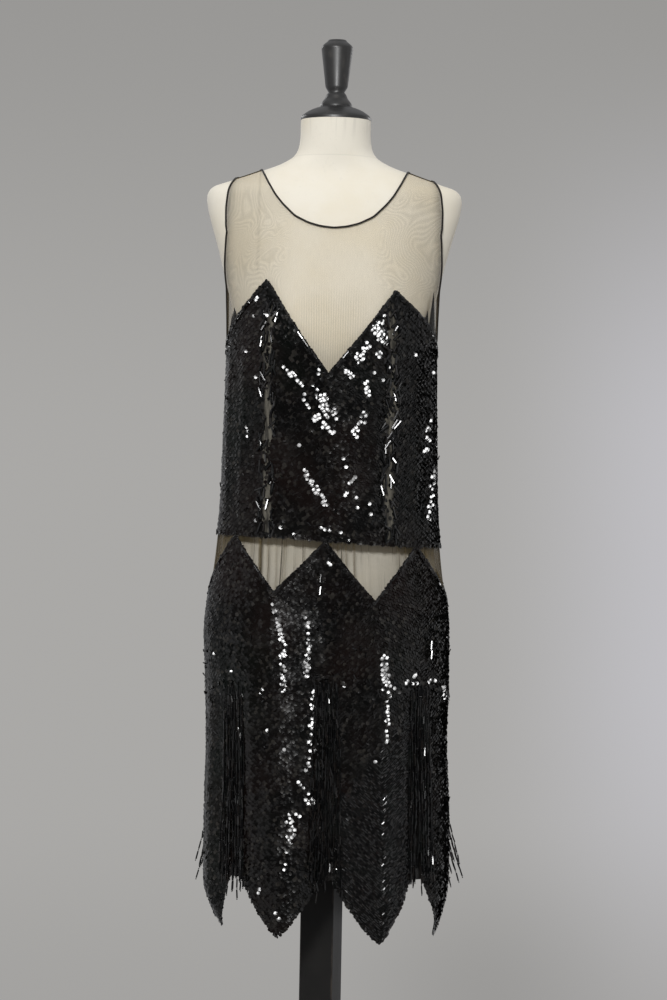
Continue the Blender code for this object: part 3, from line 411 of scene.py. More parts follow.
def dress_points(angle, z, out=0.0):
    angle, z = np.broadcast_arrays(np.asarray(angle, float), np.asarray(z, float))
    radius = dress_radius(angle, z) + out
    turn = np.radians(angle)
    return np.stack([smooth_table(DRESS, 5, z) + radius * np.sin(turn), -radius * np.cos(turn), z], axis=-1)


def creased_points(angle, z, out=0.0):
    """The dress with its softer creases, for the sequined cloth and all that is sewn on it."""
    return dress_points(angle, z, out + folds(CREASES, angle, z))


def unit(vectors):
    return vectors / np.maximum(np.linalg.norm(vectors, axis=-1, keepdims=True), 1e-12)


def cloth_axes(angle, z):
    """Unit directions across the cloth, up it and out of it."""
    across = unit(creased_points(angle + 0.3, z) - creased_points(angle - 0.3, z))
    up = unit(creased_points(angle, z + 0.0015) - creased_points(angle, z - 0.0015))
    outward = unit(np.cross(across, up))
    return across, np.cross(outward, across), outward


def lengths_along(points):
    """The length of a line up to each of its points."""
    return np.concatenate([[0], np.cumsum(np.linalg.norm(np.diff(points, axis=0), axis=1))])


class Arc:
    """Lengths round the dress at one height, against the angle."""

    def __init__(self, z):
        self.angles = np.linspace(-180, 540, 1441)
        along = lengths_along(dress_points(self.angles, np.full_like(self.angles, z)))
        self.lengths = along - np.interp(0, self.angles, along)

    def length(self, angle):
        return np.interp(angle, self.angles, self.lengths)

    def angle(self, length):
        return np.interp(length, self.lengths, self.angles)


BODICE_ARC, SKIRT_ARC = Arc(1.0), Arc(0.52)


def cloth_uv(arc, angle, z):
    """Metres round the cloth and its height, for each point."""
    return np.stack([arc.length(angle).ravel(), z.ravel()], axis=1)


def angle_for(width, angle, z):
    return np.degrees(width / dress_radius(angle, z))


def godet_half(z):
    share = np.clip((GODET_TOP_Z - z) / (GODET_TOP_Z - GODET_HEM_Z), 0, 1)
    return GODET_TOP_HALF + (GODET_HEM_HALF - GODET_TOP_HALF) * share


def petal_sides(petal, z):
    """The angles of a petal's two long edges at a height."""
    half = godet_half(z)
    return petal.start + angle_for(half, petal.start, z), petal.end - angle_for(half, petal.end, z)


def petal_share(petal, angle, z):
    """How far across a petal an angle lies, from 0 at its first edge to 1 at its last."""
    first, last = petal_sides(petal, z)
    return (angle - first) / (last - first)


def petal_rise(petal):
    """The slanted rows of a petal: how much higher they lie away from its tip's line."""
    tip = SKIRT_ARC.length(petal.tip)
    return lambda angle: 0.95 * np.abs(SKIRT_ARC.length(angle) - tip)


def petal_hem(petal, share):
    tip_share = (petal.tip - petal.start) / (petal.end - petal.start)
    off = (share - tip_share) / np.where(share < tip_share, tip_share, 1 - tip_share)
    return petal.tip_z + (GODET_HEM_Z - petal.tip_z) * np.abs(off) ** 1.25


def petal_out(petal, z):
    tuck_z = GODET_HEM_Z - TUCK_START
    return -petal.tuck_in * np.clip((tuck_z - z) / (tuck_z - petal.tip_z), 0, None) ** 1.5


# Meshes from arrays


def link(name, mesh):
    made = bpy.data.objects.new(name, mesh)
    bpy.context.scene.collection.objects.link(made)
    return made


def mesh_from(name, points, faces, smooth=True):
    """A mesh from an array of points and an array of faces with the same number of corners."""
    mesh = bpy.data.meshes.new(name)
    corners = faces.shape[1]
    mesh.vertices.add(len(points))
    mesh.vertices.foreach_set("co", np.asarray(points, np.float32).ravel())
    mesh.loops.add(faces.size)
    mesh.loops.foreach_set("vertex_index", np.asarray(faces, np.int32).ravel())
    mesh.polygons.add(len(faces))
    mesh.polygons.foreach_set("loop_start", np.arange(0, faces.size, corners, dtype=np.int32))
    mesh.update(calc_edges=True)
    mesh.polygons.foreach_set("use_smooth", np.full(len(faces), smooth))
    return mesh


def give_uv(mesh, uv):
    """A UV map named Cloth from one pair of numbers for each point."""
    corner_points = np.zeros(len(mesh.loops), np.int32)
    mesh.loops.foreach_get("vertex_index", corner_points)
    layer = mesh.uv_layers.new(name="Cloth")
    layer.data.foreach_set("uv", np.asarray(uv, np.float32)[corner_points].ravel())


def give_number(mesh, name, values):
    made = mesh.attributes.new(name, "FLOAT", "POINT")
    made.data.foreach_set("value", np.asarray(values, np.float32))


def grid_faces(columns, rows, first=0):
    """Quads of a grid stored row by row, facing the side from which its columns run left to right."""
    low = (first + np.arange(rows)[:, None] * (columns + 1) + np.arange(columns)).ravel()
    return np.stack([low, low + 1, low + columns + 2, low + columns + 1], axis=1)


def shell(name, points, faces, uv, wall, numbers=None):
    """Cloth as a closed thin shell: the faces given are its inner face, and it grows outwards."""
    a, b, c, d = (points[faces[:, i]] for i in range(4))
    face_normals = np.cross(c - a, d - b)
    normals = np.zeros_like(points)
    for i in range(4):
        np.add.at(normals, faces[:, i], face_normals)
    count = len(points)
    outer = points + wall * unit(normals)
    edges = np.concatenate([faces[:, [i, (i + 1) % 4]] for i in range(4)])
    keys, back = edges[:, 0] * count + edges[:, 1], edges[:, 1] * count + edges[:, 0]
    rim = edges[~np.isin(back, keys)]
    rim_faces = np.stack([rim[:, 1], rim[:, 0], rim[:, 0] + count, rim[:, 1] + count], axis=1)
    all_faces = np.concatenate([faces, faces[:, ::-1] + count, rim_faces])
    mesh = mesh_from(name, np.concatenate([outer, points]), all_faces)
    give_uv(mesh, np.concatenate([uv, uv]))
    for key, values in (numbers or {}).items():
        give_number(mesh, key, np.concatenate([values, values]))
    return link(name, mesh)


def tube(name, route, radius, sides, closed):
    """A cord along a route, with lengths along it and round it as its UV map."""
    route = np.asarray(route, float)
    count = len(route)
    if closed:
        along = unit(np.roll(route, -1, axis=0) - np.roll(route, 1, axis=0))
    else:
        along = unit(np.gradient(route, axis=0))
    side = unit(np.cross(along[0], (0.3, 0.5, 0.8)))
    points, uv, reached = [], [], 0.0
    for n in range(count):
        side = unit(side - along[n] * np.dot(side, along[n]))
        other = np.cross(along[n], side)
        reached += np.linalg.norm(route[n] - route[n - 1]) if n else 0.0
        for k in range(sides):
            turn = 2 * math.pi * k / sides
            points.append(route[n] + radius * (math.cos(turn) * side + math.sin(turn) * other))
            uv.append((reached, radius * turn))
    rings = count if closed else count - 1
    faces = []
    for n in range(rings):
        m = (n + 1) % count
        for k in range(sides):
            j = (k + 1) % sides
            faces.append((n * sides + k, n * sides + j, m * sides + j, m * sides + k))
    mesh = mesh_from(name, np.array(points), np.array(faces))
    give_uv(mesh, np.array(uv))
    made = link(name, mesh)
    if not closed:
        edit_only(made)
        bpy.ops.mesh.select_all(action="DESELECT")
        bpy.ops.mesh.select_non_manifold()
        bpy.ops.mesh.edge_face_add()
        bpy.ops.object.mode_set(mode="OBJECT")
    return made


def deselect_all():
    for one in bpy.context.view_layer.objects:
        one.select_set(False)
    bpy.context.view_layer.objects.active = None


def edit_only(made):
    """Selects one object alone and starts to edit it."""
    deselect_all()
    made.select_set(True)
    bpy.context.view_layer.objects.active = made
    bpy.ops.object.mode_set(mode="EDIT")


Pattern = namedtuple("Pattern", "points faces")


def taken_pattern():
    """The active object's mesh as arrays of triangles. The object is then removed."""
    made = bpy.context.object
    mesh = made.data
    mesh.calc_loop_triangles()
    points = np.array([tuple(v.co) for v in mesh.vertices])
    faces = np.array([tuple(t.vertices) for t in mesh.loop_triangles])
    bpy.data.objects.remove(made)
    bpy.data.meshes.remove(mesh)
    return Pattern(points, faces)


def sequin_pattern(radius, cup, sides=8):
    """A round sequin as a very shallow cup, lying in the XY plane and hollow to +Z."""
    deselect_all()
    bpy.ops.mesh.primitive_circle_add(vertices=sides, radius=radius, fill_type="TRIFAN")
    for vertex in bpy.context.object.data.vertices:
        if vertex.co.length < 0.1 * radius:
            vertex.co.z = -cup
    return taken_pattern()


def bugle_pattern(radius, length, sides=6):
    """A cut glass tube along Z, with its ends closed by shallow cones."""
    deselect_all()
    bpy.ops.mesh.primitive_cylinder_add(
        vertices=sides, radius=radius, depth=length, end_fill_type="TRIFAN"
    )
    for vertex in bpy.context.object.data.vertices:
        if abs(vertex.co.x) + abs(vertex.co.y) < 0.1 * radius:
            vertex.co.z *= 1 - 0.5 * radius / length
    return taken_pattern()


def bead_pattern(radius):
    deselect_all()
    bpy.ops.mesh.primitive_uv_sphere_add(segments=6, ring_count=4, radius=radius)
    return taken_pattern()


def copies(name, pattern, places, axes, smooth, rng):
    """One joined mesh of many copies of a pattern, each at its place and along its own axes."""
    count, corners = len(places), len(pattern.points)
    points = places[:, None, :] + np.einsum("nij,kj->nki", axes, pattern.points)
    faces = pattern.faces[None] + corners * np.arange(count)[:, None, None]
    mesh = mesh_from(name, points.reshape(-1, 3), faces.reshape(-1, 3), smooth)
    give_number(mesh, "tone", np.repeat(rng.random(count), corners))
    return link(name, mesh)


def together(rows):
    """Several rows of copies as one array of places and one of axes."""
    return (np.concatenate([row[i] for row in rows]) for i in (0, 1))


def joined(name, objects):
    deselect_all()
    for one in objects:
        one.select_set(True)
    bpy.context.view_layer.objects.active = objects[0]
    bpy.ops.object.join()
    made = bpy.context.view_layer.objects.active
    made.name = name
    made.data.name = name
    return made


def dress_on(made, paint, slot, *nodes):
    """Gives a finished piece its material and its body, and hides the solids that it stands for. The slot
    is not used.
    """
    made.data.materials.clear()
    made.data.materials.append(paint)
    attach(made, "root")
    if nodes:
        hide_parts(*nodes)
    return made


# Shader maths


class Value:
    """A socket that holds a number, with the usual operators as Math nodes."""

    def __init__(self, paint, socket):
        self.paint, self.socket = paint, socket

    def math(self, operation, *others):
        made = self.paint.node("ShaderNodeMath", {"operation": operation}, [self, *others])
        return Value(self.paint, made.outputs[0])

    def __add__(self, other):
        return self.math("ADD", other)

    def __radd__(self, other):
        return self.math("ADD", other)

    def __sub__(self, other):
        return self.math("SUBTRACT", other)

    def __rsub__(self, other):
        return (self * -1) + other

    def __mul__(self, other):
        return self.math("MULTIPLY", other)

    def __rmul__(self, other):
        return self.math("MULTIPLY", other)

    def __abs__(self):
        return self.math("ABSOLUTE")

    def sine(self):
        return self.math("SINE")

    def clamped(self):
        return self.math("MINIMUM", 1.0).math("MAXIMUM", 0.0)

    def ramp(self, low, high):
        """0 below low and 1 above high, smoothly between."""
        inputs = {"Value": self, "From Min": low, "From Max": high}
        made = self.paint.node("ShaderNodeMapRange", {"interpolation_type": "SMOOTHSTEP"}, inputs)
        return Value(self.paint, made.outputs[0])


class Paint:
    """A material that is built up node by node."""

    def __init__(self, name, **fixed):
        self.made = bpy.data.materials.new(name)
        self.made.use_nodes = True
        self.tree = self.made.node_tree
        self.shader = self.tree.nodes["Principled BSDF"]
        for socket, value in fixed.items():
            self.shader.inputs[socket.replace("_", " ")].default_value = value

    def node(self, kind, settings=None, inputs=None):
        made = self.tree.nodes.new(kind)
        for key, value in (settings or {}).items():
            setattr(made, key, value)
        pairs = enumerate(inputs) if isinstance(inputs, list) else (inputs or {}).items()
        for key, value in pairs:
            self.feed(made.inputs[key], value)
        return made

    def feed(self, socket, value):
        if isinstance(value, Value):
            value = value.socket
        if isinstance(value, bpy.types.NodeSocket):
            self.tree.links.new(value, socket)
        else:
            socket.default_value = value

    def place(self):
        """Object coordinates."""
        return self.node("ShaderNodeTexCoord").outputs["Object"]

    def cloth_place(self):
        """The piece's own UV map: metres round the cloth, and its height."""
        return self.node("ShaderNodeUVMap", {"uv_map": "Cloth"}).outputs[0]

    def parts(self, vector):
        made = self.node("ShaderNodeSeparateXYZ", inputs=[vector])
        return [Value(self, socket) for socket in made.outputs]

    def number(self, name):
        return Value(self, self.node("ShaderNodeAttribute", {"attribute_name": name}).outputs["Fac"])

    def stretched(self, vector, scale, turn=(0.0, 0.0, 0.0)):
        inputs = {"Vector": vector, "Scale": scale, "Rotation": turn}
        return self.node("ShaderNodeMapping", inputs=inputs).outputs[0]

    def noise(self, vector, scale, detail=3.0, roughness=0.5, distortion=0.0):
        inputs = {"Vector": vector, "Scale": scale, "Detail": detail}
        inputs |= {"Roughness": roughness, "Distortion": distortion}
        return Value(self, self.node("ShaderNodeTexNoise", inputs=inputs).outputs["Fac"])

    def blend(self, share, first, second):
        """A colour between two, by a share from 0 to 1."""
        return self.node("ShaderNodeMix", {"data_type": "RGBA"}, {0: share, 6: first, 7: second}).outputs[2]

    def set(self, socket, value):
        self.feed(self.shader.inputs[socket], value)

    def bump(self, height, strength, distance):
        inputs = {"Strength": strength, "Distance": distance, "Height": height}
        made = self.node("ShaderNodeBump", inputs=inputs)
        self.feed(self.shader.inputs["Normal"], made.outputs[0])


def colour(red, green, blue):
    return (red, green, blue, 1.0)


def solid(tint, share=1.0):
    """A tint as a socket's colour, darker or lighter by a share."""
    return colour(*(tone * share for tone in tint[:3]))


def canvas_paint(look):
    """Cream cotton over padding: a fine plain weave, slightly yellowed in soft patches, with painted shade
    at the neck seam and in the tucks above it.
    """
    paint = Paint("canvas_cover", Roughness=0.9, Specular_IOR_Level=0.25)
    paint.shader.inputs["Sheen Weight"].default_value = 0.15
    place = paint.place()
    cloudy = paint.noise(place, 9.0, 4.0, 0.6).ramp(0.35, 0.7)
    specks = paint.noise(place, 160.0, 2.0, 0.6).ramp(0.60, 0.72)
    base = solid(look.canvas)
    yellowed = colour(*(tone * share for tone, share in zip(look.canvas, (0.965, 0.945, 0.90))))
    shade = paint.blend(cloudy, base, yellowed)
    slubs = solid(look.canvas, 0.93)
    x, _, z = paint.parts(place)
    wander = paint.noise(place, 12.0, 2.0, 0.5)
    # The neck seam is painted darker, partly its own line and partly painted shade in its crease; the tucks
    # above it are painted darker as painted shade.
    seam = 1.0 - abs(z - 1.4440 + wander * 0.002).ramp(0.0002, 0.0013)
    tucks = paint.noise(paint.stretched(place, (150.0, 150.0, 5.0)), 1.0, 2.0, 0.5).ramp(0.50, 0.72)
    seam_and_tuck_shade = (seam * 0.5 + tucks * z.ramp(1.458, 1.492) * 0.7).clamped()
    shade = paint.blend(specks * 0.45, shade, slubs)
    # Painted shade of the seam and the tucks, blended into the canvas colour.
    paint.set("Base Color", paint.blend(seam_and_tuck_shade, shade, solid(look.canvas, 0.86)))
    threads = (x * 3900.0).sine() * 0.5 + (z * 3900.0).sine() * 0.5
    lumps = paint.noise(place, 26.0, 3.0, 0.5)
    paint.set("Roughness", 0.84 + 0.1 * lumps)
    paint.bump(threads * 0.05 + lumps - seam * 0.3, 0.35, 0.0012)
    return paint.made


def turned_wood_paint(look):
    """Black turned wood: fine rings from the tool, worn a little in soft patches."""
    paint = Paint("black_turned_wood", Coat_Roughness=0.30, Coat_Weight=0.25)
    place = paint.place()
    rings = paint.noise(paint.stretched(place, (6.0, 6.0, 900.0)), 1.0, 2.0, 0.5)
    cloudy = paint.noise(place, 38.0, 4.0, 0.6)
    worn = cloudy.ramp(0.56, 0.74)
    dark = solid(look.black_wood)
    paint.set("Base Color", paint.blend(worn * 0.5, dark, colour(0.045, 0.040, 0.035)))
    paint.set("Roughness", 0.36 + 0.16 * cloudy + 0.05 * rings)
    paint.bump(rings + 0.4 * cloudy, 0.10, 0.0006)
    return paint.made


def painted_wood_paint(look):
    """Black satin paint over planed wood, rubbed along the corners."""
    paint = Paint("black_painted_wood", Specular_IOR_Level=0.28)
    place = paint.stretched(paint.place(), (1.0, 1.0, 1.0), (0.0, 0.0, math.radians(-POST_TURN)))
    x, y, z = paint.parts(place)
    grain = paint.noise(paint.stretched(place, (120.0, 120.0, 3.0)), 1.0, 4.0, 0.6, 0.4)
    cloudy = paint.noise(place, 14.0, 4.0, 0.6)
    half = POST_WIDTH / 2
    corner = (abs(x).math("MINIMUM", abs(y))).ramp(half - 0.0030, half - 0.0004)
    rubbed = (corner * cloudy.ramp(0.42, 0.62)) * z.ramp(0.014, 0.020) * 0.7
    dark = solid(look.black_wood)
    shade = paint.blend(cloudy.ramp(0.3, 0.8), dark, colour(0.010, 0.009, 0.008))
    paint.set("Base Color", paint.blend(rubbed, shade, colour(0.075, 0.062, 0.050)))
    paint.set("Roughness", 0.34 + 0.18 * cloudy + 0.08 * grain)
    paint.bump(grain + 0.3 * cloudy, 0.22, 0.0006)
    return paint.made


def net_paint(name, cover, tint, fold_cover, strands=0.0):
    """Fine dark tulle: mostly open, with uneven threads, and denser in its folds."""
    paint = Paint(name, Roughness=0.72, Specular_IOR_Level=0.3)
    place = paint.cloth_place()
    threads = paint.noise(paint.stretched(place, (420.0, 6.0, 1.0)), 1.0, 2.0, 0.6)
    whorls = paint.noise(place, 16.0, 2.0, 0.5, 1.6)
    drift = paint.noise(place, 5.0, 2.0, 0.5)
    uneven = 0.66 + 0.42 * threads + 0.16 * whorls.ramp(0.3, 0.7) + 0.10 * drift
    dense = paint.number("fold")
    dark = paint.noise(paint.stretched(place, (330.0, 3.0, 1.0)), 1.0, 2.0, 0.55, 0.6).ramp(0.60, 0.70)
    alpha = (uneven * cover + dense * fold_cover + dark * strands).clamped()
    shade = paint.blend(threads, tint, solid(tint, 1.6))
    paint.set("Base Color", paint.blend(dark * (1.5 * strands), shade, colour(0.012, 0.010, 0.008)))
    paint.set("Alpha", alpha)
    paint.bump(threads, 0.15, 0.0004)
    return paint.made


def yoke_paint(look):
    """Two layers of very fine dark tulle, whose threads cross into faint contour lines."""
    tint = colour(0.34, 0.245, 0.075)
    paint = Paint("yoke_net", Roughness=0.75, Specular_IOR_Level=0.3)
    place = paint.cloth_place()
    x, z, _ = paint.parts(place)
    threads = paint.noise(paint.stretched(place, (420.0, 60.0, 1.0)), 1.0, 2.0, 0.6)
    drift = paint.noise(place, 7.0, 2.0, 0.5, 0.6)
    shoulders = abs(x).ramp(0.062, 0.110) * z.ramp(1.205, 1.25) * (1.0 - z.ramp(1.375, 1.40))
    contours = ((drift * 390.0).sine() * 0.5 + 0.5) * shoulders
    ribs = (x * 1370.0 + drift * 9.0).sine() * 0.5 + 0.5
    ribs = ribs * (1.0 - abs(x).ramp(0.03, 0.09)) * (1.0 - z.ramp(1.20, 1.27))
    dense = paint.number("fold")
    uneven = 0.60 + 0.50 * threads + 0.30 * drift
    lines = contours * 0.040 + ribs * 0.055 + dense * 0.35
    alpha = uneven * look.yoke_cover + lines
    dark = (lines * 6.0).clamped()
    warm = paint.blend(threads, tint, solid(tint, 1.15))
    paint.set("Base Color", paint.blend(dark, warm, colour(0.050, 0.040, 0.030)))
    paint.set("Alpha", alpha.clamped())
    paint.bump(threads, 0.15, 0.0004)
    return paint.made


def backing_paint(look):
    """Dark net under the sequins, with the grey-olive netting of the open strips, patched with painted
    light and shade on its crumples.
    """
    paint = Paint("sequin_backing", Roughness=0.8, Specular_IOR_Level=0.25)
    place = paint.cloth_place()
    cloudy = paint.noise(place, 40.0, 4.0, 0.6)
    mesh_holes = paint.noise(paint.stretched(place, (620.0, 420.0, 1.0)), 1.0, 1.0, 0.5)
    strip = paint.number("strip")
    dark = paint.blend(cloudy, colour(0.003, 0.003, 0.003), colour(0.008, 0.0065, 0.0055))
    olive = paint.blend(mesh_holes, solid(look.netting), solid(look.netting, 0.45))
    # Painted light and shade: the open netting is painted lighter and darker in patches, for its crumples
    # catching and losing light.
    crumple_light_and_shade = paint.noise(paint.stretched(place, (170.0, 24.0, 1.0)), 1.0, 3.0, 0.6).ramp(0.38, 0.60)
    paint.set("Base Color", paint.blend(strip * (0.15 + 0.85 * crumple_light_and_shade), dark, olive))
    paint.bump(mesh_holes, 0.3, 0.0004)
    return paint.made


def sequin_paint(look):
    """Aged black sequins: glossy, slightly brown here and green there, some rubbed dull."""
    paint = Paint("black_sequins", IOR=1.36)
    place = paint.place()
    tone = paint.number("tone")
    brown = paint.noise(place, 7.0, 3.0, 0.6).ramp(0.42, 0.66)
    green = paint.noise(paint.stretched(place, (1.0, 1.0, 0.6)), 5.0, 3.0, 0.6).ramp(0.48, 0.70)
    dull = paint.noise(place, 21.0, 3.0, 0.6).ramp(0.46, 0.70)
    base = paint.blend(brown, solid(look.sequin), solid(look.sequin_brown))
    base = paint.blend(green, base, solid(look.sequin_green))
    paler = paint.blend(tone.ramp(0.80, 1.0) * 0.75, base, colour(0.034, 0.031, 0.027))
    paint.set("Base Color", paint.blend(dull * tone * 0.35, paler, colour(0.020, 0.019, 0.017)))
    paint.set("Roughness", 0.11 + 0.12 * dull + 0.08 * tone)
    grit = paint.noise(place, 900.0, 2.0, 0.6)
    paint.bump(grit, 0.06, 0.0003)
    return paint.made


def bugle_paint(look, name="black_glass_beads", gloss=1.48):
    """Black glass beads with a little iridescent grey."""
    paint = Paint(name, IOR=gloss, Coat_Weight=0.15, Coat_Roughness=0.05)
    place = paint.place()
    tone = paint.number("tone")
    cloudy = paint.noise(place, 30.0, 3.0, 0.6)
    base = paint.blend(tone.ramp(0.6, 1.0), solid(look.bugle), colour(0.012, 0.010, 0.009))
    paint.set("Base Color", paint.blend(cloudy.ramp(0.5, 0.7) * 0.5, base, colour(0.006, 0.008, 0.007)))
    paint.set("Roughness", 0.10 + 0.14 * cloudy)
    grit = paint.noise(place, 700.0, 2.0, 0.5)
    paint.bump(grit, 0.05, 0.0003)
    return paint.made


def binding_paint(look):
    """Dark brown silk wound round the edge, with close stitches."""
    paint = Paint("silk_binding", Roughness=0.62, Specular_IOR_Level=0.25)
    paint.shader.inputs["Sheen Weight"].default_value = 0.06
    along, around, _ = paint.parts(paint.cloth_place())
    stitches = (along * 3100.0 + around * 900.0).sine() * 0.5 + 0.5
    worn = paint.noise(paint.place(), 60.0, 3.0, 0.6)
    dark = solid(look.binding)
    shade = paint.blend(stitches, solid(look.binding, 0.5), dark)
    paint.set("Base Color", paint.blend(worn.ramp(0.55, 0.75) * 0.5, shade, colour(0.034, 0.026, 0.019)))
    paint.set("Roughness", 0.45 + 0.25 * worn)
    paint.bump(stitches, 0.5, 0.0005)
    return paint.made


def floor_paint(look):
    paint = Paint("pale_floor", Roughness=0.75, Specular_IOR_Level=0.3)
    place = paint.place()
    cloudy = paint.noise(place, 2.2, 4.0, 0.6)
    grain = paint.noise(place, 380.0, 2.0, 0.6)
    pale = solid(look.floor)
    paint.set("Base Color", paint.blend(cloudy, pale, solid(look.floor, 0.93)))
    paint.set("Roughness", 0.68 + 0.16 * grain)
    paint.bump(grain, 0.08, 0.0005)
    return paint.made


def paint_for(key):
    """Each finish is made once."""
    if key not in PAINTS:
        look = bpy.context.scene.dress_colours
        PAINTS[key] = MAKERS[key](look)
    return PAINTS[key]


PAINTS = {}
MAKERS = {
    "canvas": canvas_paint,
    "turned_wood": turned_wood_paint,
    "painted_wood": painted_wood_paint,
    "yoke_net": yoke_paint,
    "gathered_net": lambda look: net_paint(
        "gathered_net", look.insert_cover, colour(0.076, 0.054, 0.020), 0.60, 0.45
    ),
    "godet_net": lambda look: net_paint("godet_net", 0.75, colour(0.006, 0.005, 0.0045), 0.2),
    "backing": backing_paint,
    "sequins": sequin_paint,
    "bugles": bugle_paint,
    "fringe_beads": lambda look: bugle_paint(look, "fringe_glass_beads", 1.33),
    "binding": binding_paint,
    "floor": floor_paint,
}


# Sizes and colours that a user would change


def length_of(name, description, default):
    return bpy.props.FloatProperty(name=name, description=description, default=default, unit="LENGTH")


def tint_of(name, description, default):
    return bpy.props.FloatVectorProperty(
        name=name, description=description, subtype="COLOR", default=default
    )


def cover_of(name, description, default):
    return bpy.props.FloatProperty(name=name, description=description, default=default, min=0, max=1)


class DressSizes(bpy.types.PropertyGroup):
    """Sizes of what is sewn on the dress."""

    sequin_width: length_of("Sequin width", "Diameter of a sequin", 6.1 * MM)
    sequin_step: length_of("Sequin step", "Distance between sequins along a string", 3.9 * MM)
    row_step: length_of("Row step", "Distance between two strings of sequins", 5.3 * MM)
    bugle_width: length_of("Bugle width", "Diameter of a bugle bead", 2.6 * MM)
    bugle_length: length_of("Bugle length", "Length of a bugle bead", 12.5 * MM)
    net_wall: length_of("Net thickness", "Thickness of the plain net", NET_WALL)
    backing_wall: length_of("Backing thickness", "Thickness of the sequined net", 0.9 * MM)
    binding_width: length_of("Binding width", "Diameter of the bound edges", 2.85 * MM)
    strands: bpy.props.IntProperty(
        name="Strands", description="Bead strands in each fringe", default=22, min=4, max=60
    )


class DressColours(bpy.types.PropertyGroup):
    """Colours of the finishes."""

    canvas: tint_of("Canvas", "Cover of the form", (0.815, 0.77, 0.665))
    black_wood: tint_of("Black wood", "Cap, post and base", (0.0065, 0.0062, 0.0058))
    sequin: tint_of("Sequin", "Main colour of the sequins", (0.0022, 0.0022, 0.0021))
    sequin_brown: tint_of("Brown sequin", "Where they have browned", (0.0070, 0.0042, 0.0036))
    sequin_green: tint_of("Green sequin", "Where they look green", (0.0020, 0.0034, 0.0024))
    bugle: tint_of("Bugle", "Glass beads", (0.0022, 0.0022, 0.0024))
    netting: tint_of("Netting", "Open strips of the bodice", (0.165, 0.153, 0.124))
    binding: tint_of("Binding", "Neck and armhole binding", (0.011, 0.0075, 0.005))
    floor: tint_of("Floor", "Studio floor", (0.52, 0.51, 0.50))
    yoke_cover: cover_of("Yoke cover", "How much each face of the yoke's net hides", 0.080)
    insert_cover: cover_of("Insert cover", "How much each face of the gathered net hides", 0.155)


# Pieces of the stand and the form


def build_form_cover():
    """The padded form with its canvas cover, closed at the neck and at the bottom."""
    heights = [FORM[0, 0]]
    for low, high in zip(FORM, FORM[1:]):
        run = math.hypot(high[0] - low[0], high[1] - low[1])
        heights += list(np.linspace(low[0], high[0], max(2, math.ceil(run / 0.005)) + 1)[1:])
    turns = np.linspace(0, 360, 120, endpoint=False)
    z, angle = np.meshgrid(np.array(heights), turns, indexing="ij")
    radius = form_radius(angle, z)
    turn = np.radians(angle)
    points = np.stack([radius * np.sin(turn), -radius * np.cos(turn), z], axis=-1).reshape(-1, 3)
    rows, columns = len(heights), len(turns)
    low = np.arange((rows - 1) * columns).reshape(rows - 1, columns)
    right = np.roll(low, -1, axis=1)
    faces = np.stack([low, right, right + columns, low + columns], axis=-1).reshape(-1, 4)
    mesh = mesh_from("dress_form_cover", points, faces)
    cover = link("dress_form_cover", mesh)
    edit_only(cover)
    for height in (FORM_BOTTOM_Z, FORM_TOP_Z):
        bpy.ops.mesh.select_all(action="DESELECT")
        bpy.ops.object.mode_set(mode="OBJECT")
        for vertex in mesh.vertices:
            vertex.select = abs(vertex.co.z - height) < 1e-5
        bpy.ops.object.mode_set(mode="EDIT")
        bpy.ops.mesh.select_mode(type="VERT")
        bpy.ops.mesh.edge_face_add()
        bpy.ops.mesh.inset(thickness=0.02)
    bpy.ops.object.mode_set(mode="OBJECT")
    bpy.ops.object.shade_smooth_by_angle(angle=math.radians(50))
    return dress_on(cover, paint_for("canvas"), "canvas", "dress_form")


CapPoint = namedtuple("CapPoint", "radius z")
CAP_PROFILE = [
    CapPoint(*row)
    for row in (
        (0.0528, 1.4990), (0.0528, 1.5015), (0.0521, 1.5038), (0.0500, 1.5062), (0.0462, 1.5090),
        (0.0415, 1.5122), (0.0362, 1.5148), (0.0305, 1.5170), (0.0254, 1.5186), (0.0243, 1.5194),
        (0.0240, 1.5212), (0.0236, 1.5224), (0.0222, 1.5252), (0.0203, 1.5278), (0.0184, 1.5300),
        (0.0172, 1.5316), (0.0160, 1.5346), (0.0150, 1.5372), (0.0134, 1.5392), (0.0126, 1.5406),
        (0.0128, 1.5424), (0.0136, 1.5440), (0.0150, 1.5462), (0.0163, 1.5486), (0.0168, 1.5500),
        (0.0202, 1.5780), (0.0236, 1.6050), (0.0238, 1.6068), (0.0235, 1.6084), (0.0222, 1.6108),
        (0.0196, 1.6134), (0.0168, 1.6156), (0.0148, 1.6172), (0.0140, 1.6186), (0.0128, 1.6197),
        (0.0100, 1.6200),
    )
]


def build_neck_cap():
    """The turned cap: a circle that is extruded up and resized ring by ring, then closed."""
    first = CAP_PROFILE[0]
    deselect_all()
    bpy.ops.mesh.primitive_circle_add(
        vertices=72, radius=first.radius, location=(0, 0, first.z), fill_type="NGON"
    )
    cap = bpy.context.object
    cap.name = "neck_cap_turning"
    bpy.ops.object.transform_apply(location=True, rotation=True, scale=True)
    bpy.ops.object.mode_set(mode="EDIT")
    bpy.ops.mesh.select_all(action="SELECT")
    for low, high in zip(CAP_PROFILE, CAP_PROFILE[1:]):
        bpy.ops.mesh.extrude_region_move(TRANSFORM_OT_translate={"value": (0, 0, high.z - low.z)})
        share = high.radius / low.radius
        bpy.ops.transform.resize(value=(share, share, 1), center_override=(0, 0, high.z))
    bpy.ops.mesh.inset(thickness=0.004)
    bpy.ops.mesh.select_all(action="SELECT")
    bpy.ops.mesh.normals_make_consistent(inside=False)
    bpy.ops.object.mode_set(mode="OBJECT")
    bpy.ops.object.shade_smooth_by_angle(angle=math.radians(38))
    return dress_on(cap, paint_for("turned_wood"), "black_wood", "neck_cap")


